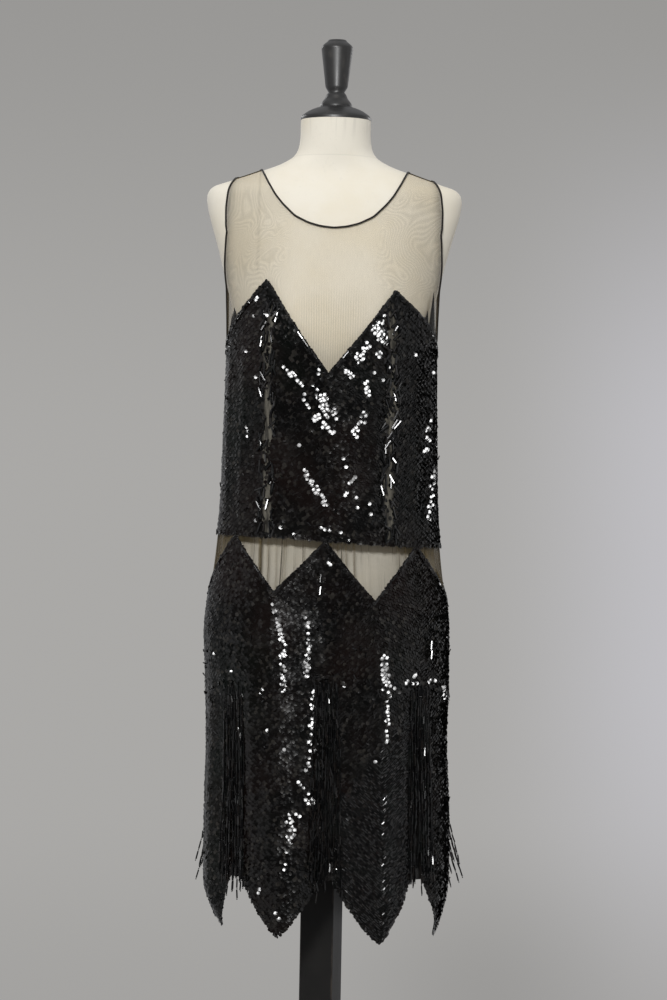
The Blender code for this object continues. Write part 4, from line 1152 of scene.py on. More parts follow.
def light_cap(cap):
    """A low card in front, whose sheen lies down the middle of the cap and on nothing else."""
    add_light(CAP_CARD)
    lit = bpy.data.collections.new("cap_only")
    lit.objects.link(cap)
    bpy.data.objects[CAP_CARD.name].light_linking.receiver_collection = lit


def paint_stand():
    """The post and the base keep their solids, in black satin paint."""
    for name in ("stand_post", "stand_base"):
        node = frame["nodes"][name]
        node.data.materials.clear()
        node.data.materials.append(paint_for("painted_wood"))


# Plain net


def armhole_angle(z):
    """How far round from the centre the yoke reaches at a height: to the side seam or the armhole."""
    half_open = linear_table(ARMHOLE_SIDE, 1, z)
    low, high = np.full_like(z, 45.0), np.full_like(z, 90.0)
    for _ in range(HALVINGS):
        middle = (low + high) / 2
        inside = dress_radius(middle, z) * np.cos(np.radians(middle)) > half_open
        low, high = np.where(inside, middle, low), np.where(inside, high, middle)
    return np.where(z <= UNDERARM_Z, 90.0, low)


def strap_points(x, lift, neck_z, facing):
    """Points over the shoulder, where lines that rise by an angle from inside the form leave it."""
    rise, reach = np.sin(np.radians(lift)), facing * np.cos(np.radians(lift))
    low, high = np.zeros_like(x), np.full_like(x, 0.14)
    for _ in range(HALVINGS):
        middle = (low + high) / 2
        y, z = SHOULDER_Y + reach * middle, neck_z + rise * middle
        half_width, front, back, square = (smooth_table(FORM, column, z) for column in (1, 2, 3, 4))
        depth = np.where(y < 0, front, back) + NET_CLEAR
        inside = (np.abs(x) / (half_width + NET_CLEAR)) ** square + (np.abs(y) / depth) ** square < 1
        low, high = np.where(inside, middle, low), np.where(inside, high, middle)
    return np.stack([x, SHOULDER_Y + reach * low, neck_z + rise * low], axis=-1)


def strap_edge(table, lift, neck_z, facing):
    """The x where each strap row meets an edge that is given by height."""
    x = np.full_like(lift, table[len(table) // 2, 1])
    for _ in range(AVERAGINGS):
        x = 0.5 * x + 0.5 * linear_table(table, 1, strap_points(x, lift, neck_z, facing)[:, 2])
    return x


SIDES = (("front", 0), ("back", 180))
YOKE_ROWS, STRAP_ROWS = 44, 30
# How much wider the yoke's net is than it looks from the front, and one sharp crease on a shoulder
YOKE_GRAIN = 1.25
CREASE_X, CREASE_WIDTH, CREASE_LOW_Z = -0.111, 1.2 * MM, 1.26
# Half a panel in degrees: the yoke's net, a band of backing, and the strings of sequins
YOKE_REACH, BAND_REACH, STRING_REACH = 89.8, 89.85, 89.6


def yoke_grid(middle, neck_z, neckline):
    """Level rows from the zigzag to the neckline, then rows over each shoulder."""
    facing = -1 if middle == 0 else 1
    first, last = middle - YOKE_REACH, middle + YOKE_REACH
    corners = [a + t for a in BODICE_TOP[:, 0] for t in (-360, 0) if first + 1 < a + t < last - 1]
    angles = np.unique(np.round(np.concatenate([np.linspace(first, last, 121), corners, [middle]]), 4))
    centre = int(np.argmin(np.abs(angles - middle)))
    share = (angles - middle) / YOKE_REACH
    t = np.linspace(0, 1, YOKE_ROWS + 1)[:, None]
    low = edge_height(BODICE_TOP, angles)[None] + SEAM_GAP
    z = low + (neck_z - low) * t
    limit = armhole_angle(z) - 0.1
    narrowed = t**0.6 + (1 - t**0.6) * soft_step((np.abs(share) - 0.80) / 0.18)[None]
    level = dress_points(angles + (middle + share * limit - angles) * narrowed, z)
    lift = 89.55 * (np.arange(1, STRAP_ROWS + 1) / STRAP_ROWS) ** 1.3
    inner = strap_edge(neckline, lift, neck_z, facing)
    outer = strap_edge(STRAP_ARMHOLE, lift, neck_z, facing)
    straps = []
    for side in (-1, 1):
        columns = np.arange(centre + 1) if side < 0 else np.arange(centre, len(angles))
        end_x = level[-1, 0 if side < 0 else -1, 0]
        along = np.abs(level[-1, columns, 0] / end_x)
        x = inner[:, None] + (outer - inner)[:, None] * along[None]
        places = strap_points(x.ravel(), np.repeat(lift, len(columns)), neck_z, facing).reshape(*x.shape, 3)
        places[..., 0] *= math.copysign(1, end_x)
        straps.append((columns, places))
    return level, straps, centre


def build_yoke(name, middle, neck_z, neckline):
    level, straps, centre = yoke_grid(middle, neck_z, neckline)
    count = level.shape[1]
    points = [level.reshape(-1, 3)]
    faces = [grid_faces(count - 1, YOKE_ROWS)]
    reached = level.shape[0] * count
    for columns, places in straps:
        below = YOKE_ROWS * count + columns
        for row in places:
            above = reached + np.arange(len(columns))
            faces.append(np.stack([below[:-1], below[1:], above[1:], above[:-1]], axis=1))
            points.append(row)
            reached += len(columns)
            below = above
    points = np.concatenate(points)
    uv = np.stack([points[:, 0] * YOKE_GRAIN, points[:, 2]], axis=1)
    sharp = np.exp(-(((points[:, 0] - CREASE_X) / CREASE_WIDTH) ** 2))
    crease = 0.5 * sharp * (points[:, 2] > CREASE_LOW_Z)
    hand = np.abs(points[:, 0])
    half_width = np.interp(points[:, 2], (1.16, 1.30, 1.40), (0.160, 0.165, 0.158))
    edge = np.exp(-(((half_width - hand) / 0.010) ** 2))
    sides = 0.10 * soft_step((hand - 0.07) / 0.07)
    fold = 0.32 * crease + 0.30 * edge + sides
    net = shell(name, points, np.concatenate(faces), uv, NET_WALL, {"fold": fold})
    return net, (level, straps, centre)


def armhole_pairs(rows, end):
    """Edge points of a yoke's armhole with their neighbours, from the underarm to the shoulder."""
    level, straps, _ = rows
    inner = 1 if end == 0 else -2
    _, places = straps[0 if end == 0 else 1]
    pairs = [(row[end], row[inner]) for row in level if row[end][2] > UNDERARM_Z + 0.004]
    return pairs[::3] + [(row[end], row[inner]) for row in places]


def neck_pairs(rows, half):
    _, straps, _ = rows
    edge, inner = (-1, -2) if half == 0 else (0, 1)
    return [(row[edge], row[inner]) for row in straps[half][1]]


def edge_route(pairs, radius):
    """The centre line of a binding off an edge, from pairs of an edge point and its inner neighbour."""
    edges = np.array([pair[0] for pair in pairs])
    inners = np.array([pair[1] for pair in pairs])
    along = unit(np.gradient(edges, axis=0))
    across = edges - inners
    across = unit(across - along * (across * along).sum(axis=1, keepdims=True))
    outward = np.cross(across, along)
    none = np.zeros(len(edges))
    hub = np.stack([none, none + SHOULDER_Y, np.minimum(edges[:, 2], FRONT_NECK_Z)], axis=1)
    flip = (outward * (edges - hub)).sum(axis=1, keepdims=True) < 0
    outward = np.where(flip, -outward, outward)
    return edges + across * (radius + SEAM_GAP) + outward * BINDING_LIFT


def evenly(route, step, closed):
    """The route again with even steps, smoothed a little."""
    points = np.concatenate([route, route[:1]]) if closed else route
    lengths = lengths_along(points)
    count = int(lengths[-1] / step)
    at = np.linspace(0, lengths[-1], count + 1)
    even = np.stack([np.interp(at, lengths, points[:, k]) for k in range(3)], axis=1)
    if closed:
        even = even[:-1]
        for _ in range(3):
            even = 0.5 * even + 0.25 * (np.roll(even, 1, axis=0) + np.roll(even, -1, axis=0))
    return even


def over_shoulder(front, back):
    return np.concatenate([front[:-1], [(front[-1] + back[-1]) / 2], back[-2::-1]])


def build_bindings(front_rows, back_rows, width):
    radius = width / 2
    made = []
    for hand, side_name, front_end, back_end in ((1, "left", -1, 0), (-1, "right", 0, -1)):
        front = edge_route(armhole_pairs(front_rows, front_end), radius)
        back = edge_route(armhole_pairs(back_rows, back_end), radius)
        under = dress_points([90.0 * hand], [UNDERARM_Z + radius + SEAM_GAP], 0.5 * MM)
        route = evenly(np.concatenate([under, over_shoulder(front, back)]), BINDING_STEP, True)
        node = "armhole_binding_" + side_name
        made.append((tube(node + "_silk", route, radius, 8, True), node))
    drop = np.array((0, 0, radius + SEAM_GAP))
    ends = [rows[0][-1, rows[2]] + drop for rows in (front_rows, back_rows)]
    front = [edge_route(neck_pairs(front_rows, half), radius) for half in (1, 0)]
    back = [edge_route(neck_pairs(back_rows, half), radius) for half in (0, 1)]
    left, right = over_shoulder(front[0], back[0]), over_shoulder(front[1], back[1])
    whole = np.concatenate([[ends[0]], left, [ends[1]], right[::-1]])
    route = evenly(whole, BINDING_STEP, True)
    made.append((tube("neck_binding_silk", route, radius, 8, True), "neck_binding"))
    for piece, node in made:
        dress_on(piece, paint_for("binding"), "binding", node)


def build_shoulder_seams(front_rows, back_rows):
    """A narrow felled seam over each shoulder, with the knots at its ends."""
    for hand, name in ((0, "right"), (1, "left")):
        front = front_rows[1][hand][1][-1]
        back = back_rows[1][1 - hand][1][-1]
        if (front[0, 0] - front[-1, 0]) * (back[0, 0] - back[-1, 0]) < 0:
            back = back[::-1]
        at = np.linspace(0, 1, 24)
        even = [
            np.stack([np.interp(at, np.linspace(0, 1, len(row)), row[:, k]) for k in range(3)], axis=1)
            for row in (front, back)
        ]
        route = (even[0] + even[1]) / 2 + np.array((0, 0, 0.9 * MM))
        seam = tube("shoulder_seam_" + name, route, 1.15 * MM, 6, False)
        knots = []
        for end in (route[0], route[-1]):
            deselect_all()
            bpy.ops.mesh.primitive_uv_sphere_add(segments=12, ring_count=8, radius=2.3 * MM, location=end)
            bpy.ops.object.transform_apply(location=True, rotation=True, scale=True)
            knot = bpy.context.object
            knot.data.uv_layers[0].name = "Cloth"
            bpy.ops.object.shade_smooth()
            knots.append(knot)
        dress_on(joined("shoulder_seam_" + name, [seam, *knots]), paint_for("binding"), "binding")


# Sequined net


BODICE_ROWS, HIP_ROWS, PETAL_ROWS, INSERT_ROWS = 64, 36, 60, 10
GATHER_DEPTH, GODET_SINK = 2.1 * MM, 1.7 * MM


def band_angles(middle, edges, step):
    first, last = middle - BAND_REACH, middle + BAND_REACH
    turned = [a + t for edge in edges for a in edge[:, 0] for t in (-360, 0)]
    corners = [a for a in turned if first + 1 < a < last - 1]
    return np.unique(np.round(np.concatenate([np.arange(first, last, step), [last], corners]), 4))


def cloth(name, angle, z, out, wall, arc, numbers=None, surface=creased_points):
    """A thin shell over a grid of angles and heights, moved off its surface."""
    angle, z = np.broadcast_arrays(angle, z)
    points = surface(angle, z, out).reshape(-1, 3)
    faces = grid_faces(angle.shape[1] - 1, angle.shape[0] - 1)
    return shell(name, points, faces, cloth_uv(arc, angle, z), wall, numbers)


def band(name, angles, low, high, rows, wall, arc, out=None, surface=creased_points, numbers=None):
    """Cloth between two edges. out moves it off the surface, and numbers are kept on its points."""
    t = np.linspace(0, 1, rows + 1)[:, None]
    z = low[None] + (high - low)[None] * t
    angle = np.broadcast_to(angles[None], z.shape)
    extra = {key: make(angle, z).ravel() for key, make in (numbers or {}).items()}
    return cloth(name, angle, z, 0.0 if out is None else out(angle, z), wall, arc, extra, surface)


def strip_wander(middle, z):
    """How far an open strip strays to one side at a height, in degrees."""
    return 1.1 * np.sin(z * 31 + middle) + 0.6 * np.sin(z * 77 + 2 * middle)


def strip_share(angle, z):
    """1 in the open strips under the peaks of the bodice, 0 elsewhere."""
    share = np.zeros(np.shape(angle))
    for middle in STRIP_ANGLES:
        away = (np.asarray(angle) - middle + 180) % 360 - 180
        half = np.degrees(STRIP_HALF / BODICE_RADIUS) * (0.75 + 0.25 * np.sin(z * 53 + middle))
        from_middle = np.abs(away + strip_wander(middle, z) * 0.6)
        share = np.maximum(share, soft_step((half - from_middle) / 1.2 + 0.5))
    return share * soft_step((1.232 - z) / 0.02)


def gather_wave(angle):
    """Uneven small gathers: how far the net dips inwards at an angle, from 0 to 1."""
    turn = np.radians(angle)
    phase = 2 * GATHERS_PER_PANEL * turn + 0.9 * np.sin(5 * turn) + 0.6 * np.sin(11 * turn + 1.0)
    return (0.75 + 0.25 * np.sin(7 * turn + 0.5)) * (0.5 - 0.5 * np.cos(phase))


def build_backings(sizes):
    """The net that carries the sequins: bodice, hip yoke and petals."""
    made, wall = {}, sizes.backing_wall
    for side, middle in SIDES:
        angles = band_angles(middle, [BODICE_TOP], 1.5)
        low, high = bodice_hem(angles) + SEAM_GAP, edge_height(BODICE_TOP, angles) - SEAM_GAP
        name = "bodice_" + side
        made[name] = band(
            name + "_backing", angles, low, high, BODICE_ROWS, wall, BODICE_ARC,
            numbers={"strip": strip_share},
        )
        angles = band_angles(middle, [HIP_YOKE_TOP, HIP_YOKE_BOTTOM], 1.5)
        low, high = edge_height(HIP_YOKE_BOTTOM, angles) + SEAM_GAP, edge_height(HIP_YOKE_TOP, angles)
        name = "hip_yoke_" + side
        made[name] = band(name + "_backing", angles, low, high, HIP_ROWS, wall, SKIRT_ARC)
    t = (np.arange(PETAL_ROWS + 1) / PETAL_ROWS)[:, None] ** 0.85
    share = np.linspace(0, 1, 33)
    for petal in PETALS:
        top_start, top_end = (float(a) for a in petal_sides(petal, np.array(GODET_TOP_Z)))
        top = edge_height(HIP_YOKE_BOTTOM, top_start + (top_end - top_start) * share) - SEAM_GAP
        low = petal_hem(petal, share)
        z = low[None] + (top - low)[None] * t
        first, last = petal_sides(petal, z)
        angle = first + (last - first) * share[None]
        name = petal.name + "_backing"
        made[petal.name] = cloth(name, angle, z, petal_out(petal, z), wall, SKIRT_ARC)
    for node, piece in made.items():
        dress_on(piece, paint_for("backing"), "sequins", node)
    return made


def build_inserts(sizes):
    made = []
    for side, middle in SIDES:
        angles = band_angles(middle, [HIP_YOKE_TOP], 180 / (GATHERS_PER_PANEL * 9))
        low = edge_height(HIP_YOKE_TOP, angles) + 3 * SEAM_GAP
        high = np.maximum(bodice_hem(angles) - 2 * SEAM_GAP, low + 0.5 * MM)

        def dip(angle, z):
            return -GATHER_DEPTH * gather_wave(angle)

        def dense(angle, z):
            strong = 0.55 + 0.45 * np.sin(np.radians(angle) * 23 + 1.0)
            at_side = 0.45 * soft_step((np.abs(np.sin(np.radians(angle))) - 0.80) / 0.16)
            return gather_wave(angle + 0.25 * np.sin(z * 60)) ** 5 * strong + at_side

        node = "hip_insert_" + side
        piece = band(
            node + "_net", angles, low, high, INSERT_ROWS, sizes.net_wall, SKIRT_ARC,
            dip, dress_points, {"fold": dense},
        )
        made.append(dress_on(piece, paint_for("gathered_net"), "net", node))
    return made


def build_godets(sizes):
    made = []
    for godet in GODETS:
        high = float(edge_height(HIP_YOKE_BOTTOM, godet.angle)) - 2 * SEAM_GAP
        z = np.linspace(GODET_HEM_Z, high, 41)[:, None]
        reach = angle_for(godet_half(z) + GODET_UNDERLAP, godet.angle, z)
        across = np.linspace(-1, 1, 15)[None]
        angle = godet.angle + reach * across
        fold = np.broadcast_to(0.5 + 0.5 * np.cos(across * 9.0), angle.shape).ravel()
        node = "godet_" + godet.name
        piece = cloth(
            node + "_net", angle, z, -GODET_SINK, sizes.net_wall, SKIRT_ARC, {"fold": fold}, dress_points
        )
        made.append(dress_on(piece, paint_for("godet_net"), "net", node))
    return made


def halfway(places):
    """Unit directions halfway between the camera and the main light, seen from each place."""
    return unit(unit(CAMERA_PLACE - places) + unit(KEY_PLACE - places))


def kept_dark(normals, places, aside):
    """Turns what would mirror the main light into the camera away from it."""
    half = halfway(places)
    near = (normals * half).sum(axis=1, keepdims=True)
    off = unit(normals - half * near + 1e-5 * aside)
    turned = unit(half * math.cos(DARK_TURN) + off * math.sin(DARK_TURN))
    return np.where(near > math.cos(DARK_TURN), turned, normals)


def turned_to(normals, across):
    """Axes whose Z is the normal given and whose X stays as near across as it can."""
    across = unit(across - normals * (across * normals).sum(axis=1, keepdims=True))
    return np.stack([across, np.cross(normals, across), normals], axis=-1)


def away_from(line, places, outward):
    """How far places of the front lie from a line x, z, x, z or a point x, z, seen from the front."""
    start, run = np.array(line[:2]), np.subtract(line[-2:], line[:2])
    flat = places[:, [0, 2]] - start
    t = np.clip((flat @ run) / max(run @ run, 1e-9), 0, 1)
    return np.where(outward[:, 1] < FACING_FRONT, np.linalg.norm(flat - t[:, None] * run, axis=1), FAR)


def in_streaks(places, outward, rng):
    """Which sequins of the front catch the main light."""
    chosen = np.zeros(len(places), bool)
    for streak in GLINT_STREAKS:
        near = away_from(streak[:4], places, outward) < streak.half
        chosen |= near & (rng.random(len(places)) < streak.share)
    for line in SHORT_GLINTS + LONE_GLINTS:
        away = away_from(line, places, outward)
        chosen[int(away.argmin())] |= away.min() < 12.0 * MM
    return chosen


def strings_of_sequins(arc, first, last, low_z, high_z, chevron, keep, sizes, rng, lean):
    """Angles and heights of sequins on strings that follow the chevrons, and which way each string runs."""
    run, rise = sizes.sequin_step * math.cos(lean), sizes.row_step / math.cos(lean)
    s = np.arange(arc.length(first), arc.length(last), run)
    angles = arc.angle(s)
    height = chevron(angles)
    slope = np.sign(chevron(angles + 0.3) - chevron(angles - 0.3))
    rows = np.arange(low_z - height.max(), high_z - height.min() + rise, rise)
    row, column = np.meshgrid(np.arange(len(rows)), np.arange(len(s)), indexing="ij")
    jitter = rng.normal(0, 1, (2, *row.shape)) * 0.10
    length = s[column] + run * (0.5 * (row % 2) + jitter[0])
    z = rows[row] + chevron(arc.angle(length)) + rise * jitter[1]
    angle = arc.angle(length)
    kept = keep(angle, z)
    return angle[kept], z[kept], slope[column][kept]


def sew_sequins(name, angle, z, slope, out, sizes, rng, lean):
    """Sequins at their places, each lapped over the next, with those of the streaks turned to the light."""
    across, up, outward = cloth_axes(angle, z)
    run = math.cos(lean) * across + (math.sin(lean) * slope)[:, None] * up
    side = np.cross(outward, run)
    lift = rng.random(len(angle)) * 0.5 * MM
    places = creased_points(angle, z, out + 1.5 * MM + lift)
    count = len(angle)
    lap = np.radians(SEQUIN_LAP + rng.normal(0, LAP_SPREAD, count))[:, None]
    tip = np.radians(rng.normal(2.0, 6.0, count))[:, None]
    askew = (rng.random(count) < ASKEW_SHARE)[:, None]
    lap = np.where(askew, np.radians(rng.normal(0, ASKEW_SPREAD, count))[:, None], lap)
    tip = np.where(askew, np.radians(rng.normal(0, ASKEW_SPREAD, count))[:, None], tip)
    normals = unit(outward + np.tan(lap) * run + np.tan(tip) * side)
    normals = kept_dark(normals, places, run)
    lit = in_streaks(places, outward, rng)
    normals[lit] = unit(halfway(places[lit]) + rng.normal(0, 0.030, (lit.sum(), 3)))
    places[lit] += 0.6 * MM * outward[lit]
    axes = turned_to(normals, run) * rng.normal(1.0, 0.04, count)[:, None, None]
    pattern = sequin_pattern(sizes.sequin_width / 2, SEQUIN_CUP)
    dress_on(copies(name, pattern, places, axes, True, rng), paint_for("sequins"), "sequins")


def sew_edge_sequins(angle, z, out, rng):
    """A loose row along an edge, as places and axes for copies."""
    across, up, outward = cloth_axes(angle, z)
    places = creased_points(angle, z, out + 1.6 * MM + 0.5 * MM * rng.random(len(angle)))
    tilt = 0.26 * rng.normal(0, 1, (2, len(angle), 1))
    normals = kept_dark(unit(outward + tilt[0] * across + tilt[1] * up), places, across)
    return places, turned_to(normals, across)


def spaced_path(angle, z, step):
    """A path on the cloth again, with even steps between its points."""
    fine = np.linspace(0, 1, 40 * len(angle))
    at = np.linspace(0, 1, len(angle))
    angle, z = np.interp(fine, at, angle), np.interp(fine, at, z)
    lengths = lengths_along(creased_points(angle, z))
    want = np.arange(step / 2, lengths[-1], step)
    return np.interp(want, lengths, angle), np.interp(want, lengths, z)


def build_sequins(sizes):
    """All the sequins, panel by panel."""
    steep, gentle = BODICE_LEAN, SKIRT_LEAN
    for number, (side, middle) in enumerate(SIDES):
        rng = np.random.default_rng(11 + number)
        chance = np.random.default_rng(21 + number)

        def keep_bodice(angle, z):
            inside = (z > bodice_hem(angle) + 1.2 * MM) & (z < edge_height(BODICE_TOP, angle) - 1.6 * MM)
            return inside & (chance.random(angle.shape) > 0.86 * strip_share(angle, z))

        ends = middle - STRING_REACH, middle + STRING_REACH
        chevron = partial(edge_height, BODICE_TOP)
        places = strings_of_sequins(BODICE_ARC, *ends, 0.86, 1.26, chevron, keep_bodice, sizes, rng, steep)
        sew_sequins(f"bodice_{side}_sequins", *places, 0.0, sizes, rng, steep)

        def keep_hip(angle, z):
            low, high = edge_height(HIP_YOKE_BOTTOM, angle), edge_height(HIP_YOKE_TOP, angle)
            return (z > low - 0.5 * MM) & (z < high - 1.6 * MM)

        chevron = partial(edge_height, HIP_YOKE_TOP)
        places = strings_of_sequins(SKIRT_ARC, *ends, 0.63, 0.88, chevron, keep_hip, sizes, rng, gentle)
        sew_sequins(f"hip_yoke_{side}_sequins", *places, 0.3 * MM, sizes, rng, gentle)
    for number, petal in enumerate(PETALS):
        rng = np.random.default_rng(31 + number)

        def keep_petal(angle, z):
            share = petal_share(petal, angle, z)
            top = edge_height(HIP_YOKE_BOTTOM, angle)
            inside = (share > 0.008) & (share < 0.992)
            return inside & (z < top - 1.5 * MM) & (z > petal_hem(petal, np.clip(share, 0, 1)) + 0.8 * MM)

        ends, rise = (petal.start, petal.end), petal_rise(petal)
        places = strings_of_sequins(SKIRT_ARC, *ends, *PETAL_HEIGHTS, rise, keep_petal, sizes, rng, gentle)
        angle, z, slope = places
        if petal.name == "petal_front_left":
            kept = ~beaded(petal, angle, z)
            angle, z, slope = angle[kept], z[kept], slope[kept]
        sew_sequins(f"{petal.name}_sequins", angle, z, slope, petal_out(petal, z), sizes, rng, gentle)


# Bugle beads, edge rows and fringe


def beaded(petal, angle, z):
    """Where a front petal is worked in rows of fine bugles instead of sequins."""
    top = 0.560 + 0.0030 * (angle - petal.tip) + 0.012 * np.sin(angle * 0.8)
    return z < top


def build_petal_bugles():
    """Close slanted rows of fine bugles, which rise away from the petal's middle."""
    rng = np.random.default_rng(81)
    petal = PETALS[0]
    lean = SKIRT_LEAN
    close = Spacing(4.9 * MM, 2.7 * MM)

    def keep(angle, z):
        share = petal_share(petal, angle, z)
        inside = (share > 0.02) & (share < 0.98) & (z > petal_hem(petal, np.clip(share, 0, 1)) + 1.5 * MM)
        return inside & beaded(petal, angle, z) & (rng.random(angle.shape) > 0.04)

    angle, z, slope = strings_of_sequins(
        SKIRT_ARC, petal.start, petal.end, *PETAL_HEIGHTS, petal_rise(petal), keep, close, rng, lean
    )
    across, up, outward = cloth_axes(angle, z)
    wobble = (lean + np.radians(rng.normal(0, 5.0, len(angle)))) * np.where(slope == 0, 1, slope)
    along = np.cos(wobble)[:, None] * across + np.sin(wobble)[:, None] * up
    places = creased_points(angle, z, petal_out(petal, z) + (1.7 + 0.4 * rng.random(len(angle))) * MM)
    axes = bugle_axes(places, along, outward, rng)
    pattern = bugle_pattern(PETAL_BUGLE_RADIUS, PETAL_BUGLE_LENGTH)
    sew_beads("petal_front_left_bugles", pattern, places, axes, rng)


def sew_beads(name, pattern, places, axes, rng, smooth=False):
    """Beads or bugles at their places, as one piece."""
    return dress_on(copies(name, pattern, places, axes, smooth, rng), paint_for("bugles"), "beads")


def bugle_axes(places, along, outward, rng, lit_share=0.0):
    """Axes for bugles that lie along a direction. Those near a listed glint turn one flat to the light."""
    along = unit(along)
    roll = rng.random(len(places)) * 2 * np.pi
    side = unit(np.cross(along, outward))
    other = np.cross(along, side)
    x = np.cos(roll)[:, None] * side + np.sin(roll)[:, None] * other
    lit = rng.random(len(places)) < lit_share
    for glint in BUGLE_GLINTS:
        away = away_from(glint, places, outward)
        lit[int(away.argmin())] |= away.min() < 10.0 * MM
    half = unit(halfway(places[lit]) + rng.normal(0, 0.045, (lit.sum(), 3)))
    lean = unit(along[lit] - half * (along[lit] * half).sum(axis=1, keepdims=True))
    x[lit] = half
    along[lit] = lean
    y = np.cross(along, x)
    return np.stack([x, y, along], axis=-1)


def build_edge_rows(sizes):
    """Sequins and bugles sewn along the zigzag edges, the hem of the bodice and the petals' edges."""
    rng = np.random.default_rng(51)
    sequins, bugles, beads = [], [], []

    def sew_row(even, stray, out):
        heights = even[1] + rng.normal(0, stray, len(even[0]))
        sequins.append(sew_edge_sequins(even[0], heights, out, rng))

    for edge in (BODICE_TOP, HIP_YOKE_TOP):
        angle, z = edge.T
        sew_row(spaced_path(angle, z, 3.4 * MM), 0.5 * MM, 0.3 * MM)
        even = spaced_path(angle, z, sizes.bugle_length + 2.4 * MM)
        outward = cloth_axes(*even)[2]
        later = creased_points(even[0] + 0.05, np.interp(even[0] + 0.05, angle, z))
        along = unit(later - creased_points(*even))
        places = creased_points(even[0], even[1], 2.4 * MM)
        chosen = rng.random(len(places)) < 0.80
        bugles.append((places[chosen], bugle_axes(places[chosen], along[chosen], outward[chosen], rng)))
        even = spaced_path(angle, z + 0.3 * MM, 2.7 * MM)
        across, up, outward = cloth_axes(*even)
        beads.append((creased_points(even[0], even[1], 1.9 * MM), np.stack([across, up, outward], axis=-1)))
        sew_row(spaced_path(angle, z - 3.6 * MM, 3.6 * MM), 0.5 * MM, 0.3 * MM + 0.8 * MM)
    pair = np.array((-16.6, -20.2))
    heights = edge_height(BODICE_TOP, pair)
    places = creased_points(pair, heights, 4.2 * MM)
    along = np.repeat(places[1:] - places[:1], 2, axis=0)
    bugles.append((places, bugle_axes(places, along, cloth_axes(pair, heights)[2], rng, 1.0)))
    lone = np.array([(-4.6, 0.8150), (-4.6, 0.7970), (63.8, 0.7180), (63.8, 0.7040)])
    across, up, outward = cloth_axes(*lone.T)
    places = creased_points(*lone.T, 4.0 * MM)
    bugles.append((places, bugle_axes(places, up + 0.08 * across, outward, rng, 1.0)))
    around = np.linspace(-90, 270, 181)
    for angle, z, out in (
        (around, bodice_hem(around) + 0.6 * MM, 0.5 * MM),
        (around, bodice_hem(around) - 1.2 * MM, 1.0 * MM),
        (HIP_YOKE_BOTTOM[:, 0], HIP_YOKE_BOTTOM[:, 1] - 0.8 * MM, 1.2 * MM),
    ):
        sew_row(spaced_path(angle, z, 3.3 * MM), 0.9 * MM, out)
    for petal in PETALS:
        share = np.linspace(0, 1, 61)
        low_z = petal_hem(petal, share)
        first, last = petal_sides(petal, low_z)
        angle = first + (last - first) * share
        sides = []
        for which in (0, 1):
            z = np.linspace(GODET_HEM_Z, float(edge_height(HIP_YOKE_BOTTOM, petal.start)) - 2 * MM, 40)
            sides.append((petal_sides(petal, z)[which], z))
        for path in ((angle, low_z - 0.4 * MM), *sides):
            even = spaced_path(*path, 3.2 * MM)
            sew_row(even, 1.1 * MM, petal_out(petal, even[1]))
    sequin = sequin_pattern(sizes.sequin_width / 2, SEQUIN_CUP)
    places, axes = together(sequins)
    dress_on(copies("edge_row_sequins", sequin, places, axes, True, rng), paint_for("sequins"), "sequins")
    places, axes = together(bugles)
    bugle = bugle_pattern(sizes.bugle_width / 2, sizes.bugle_length)
    sew_beads("edge_row_bugles", bugle, places, axes, rng)
    places, axes = together(beads)
    bead = bead_pattern(EDGE_BEAD_RADIUS)
    sew_beads("edge_row_beads", bead, places, axes, rng, smooth=True)


def build_strip_bugles(sizes):
    """Loose bugle sticks, most of them nearly upright, over the open strips."""
    rng = np.random.default_rng(61)
    angles, heights = [], []
    for middle in STRIP_ANGLES:
        low_z, high_z = float(bodice_hem(middle)) + 4 * MM, float(edge_height(BODICE_TOP, middle)) - 14 * MM
        z = rng.uniform(low_z, high_z, STRIP_COUNT)
        half = np.degrees((STRIP_HALF + 2.5 * MM) / BODICE_RADIUS)
        edge_first = np.sign(rng.normal(0, 1, STRIP_COUNT)) * rng.random(STRIP_COUNT) ** 0.7
        angles.append(middle - 0.6 * strip_wander(middle, z) + half * edge_first)
        heights.append(z)
    angle, z = np.concatenate(angles), np.concatenate(heights)
    across, up, outward = cloth_axes(angle, z)
    turn = rng.normal(0, math.radians(25), len(angle))[:, None]
    along = np.cos(turn) * up + np.sin(turn) * across + 0.12 * rng.normal(0, 1, (len(angle), 1)) * outward
    places = creased_points(angle, z, (2.4 + 1.2 * rng.random(len(angle))) * MM)
    axes = bugle_axes(places, along, outward, rng, STRIP_LIT_SHARE)
    pattern = bugle_pattern(sizes.bugle_width * 0.62, sizes.bugle_length * 1.2)
    sew_beads("strip_bugles", pattern, places, axes, rng)


FRINGE_DROP, FRINGE_WIDTH, BEAD_ROOM = 0.297, 36 * MM, 2.6 * MM
THREAD_RADIUS, HANGING_BEAD_RADIUS = 0.3 * MM, 1.05 * MM
FRINGE_SWAY = {"back_left": 32 * MM, "back_right": 32 * MM}


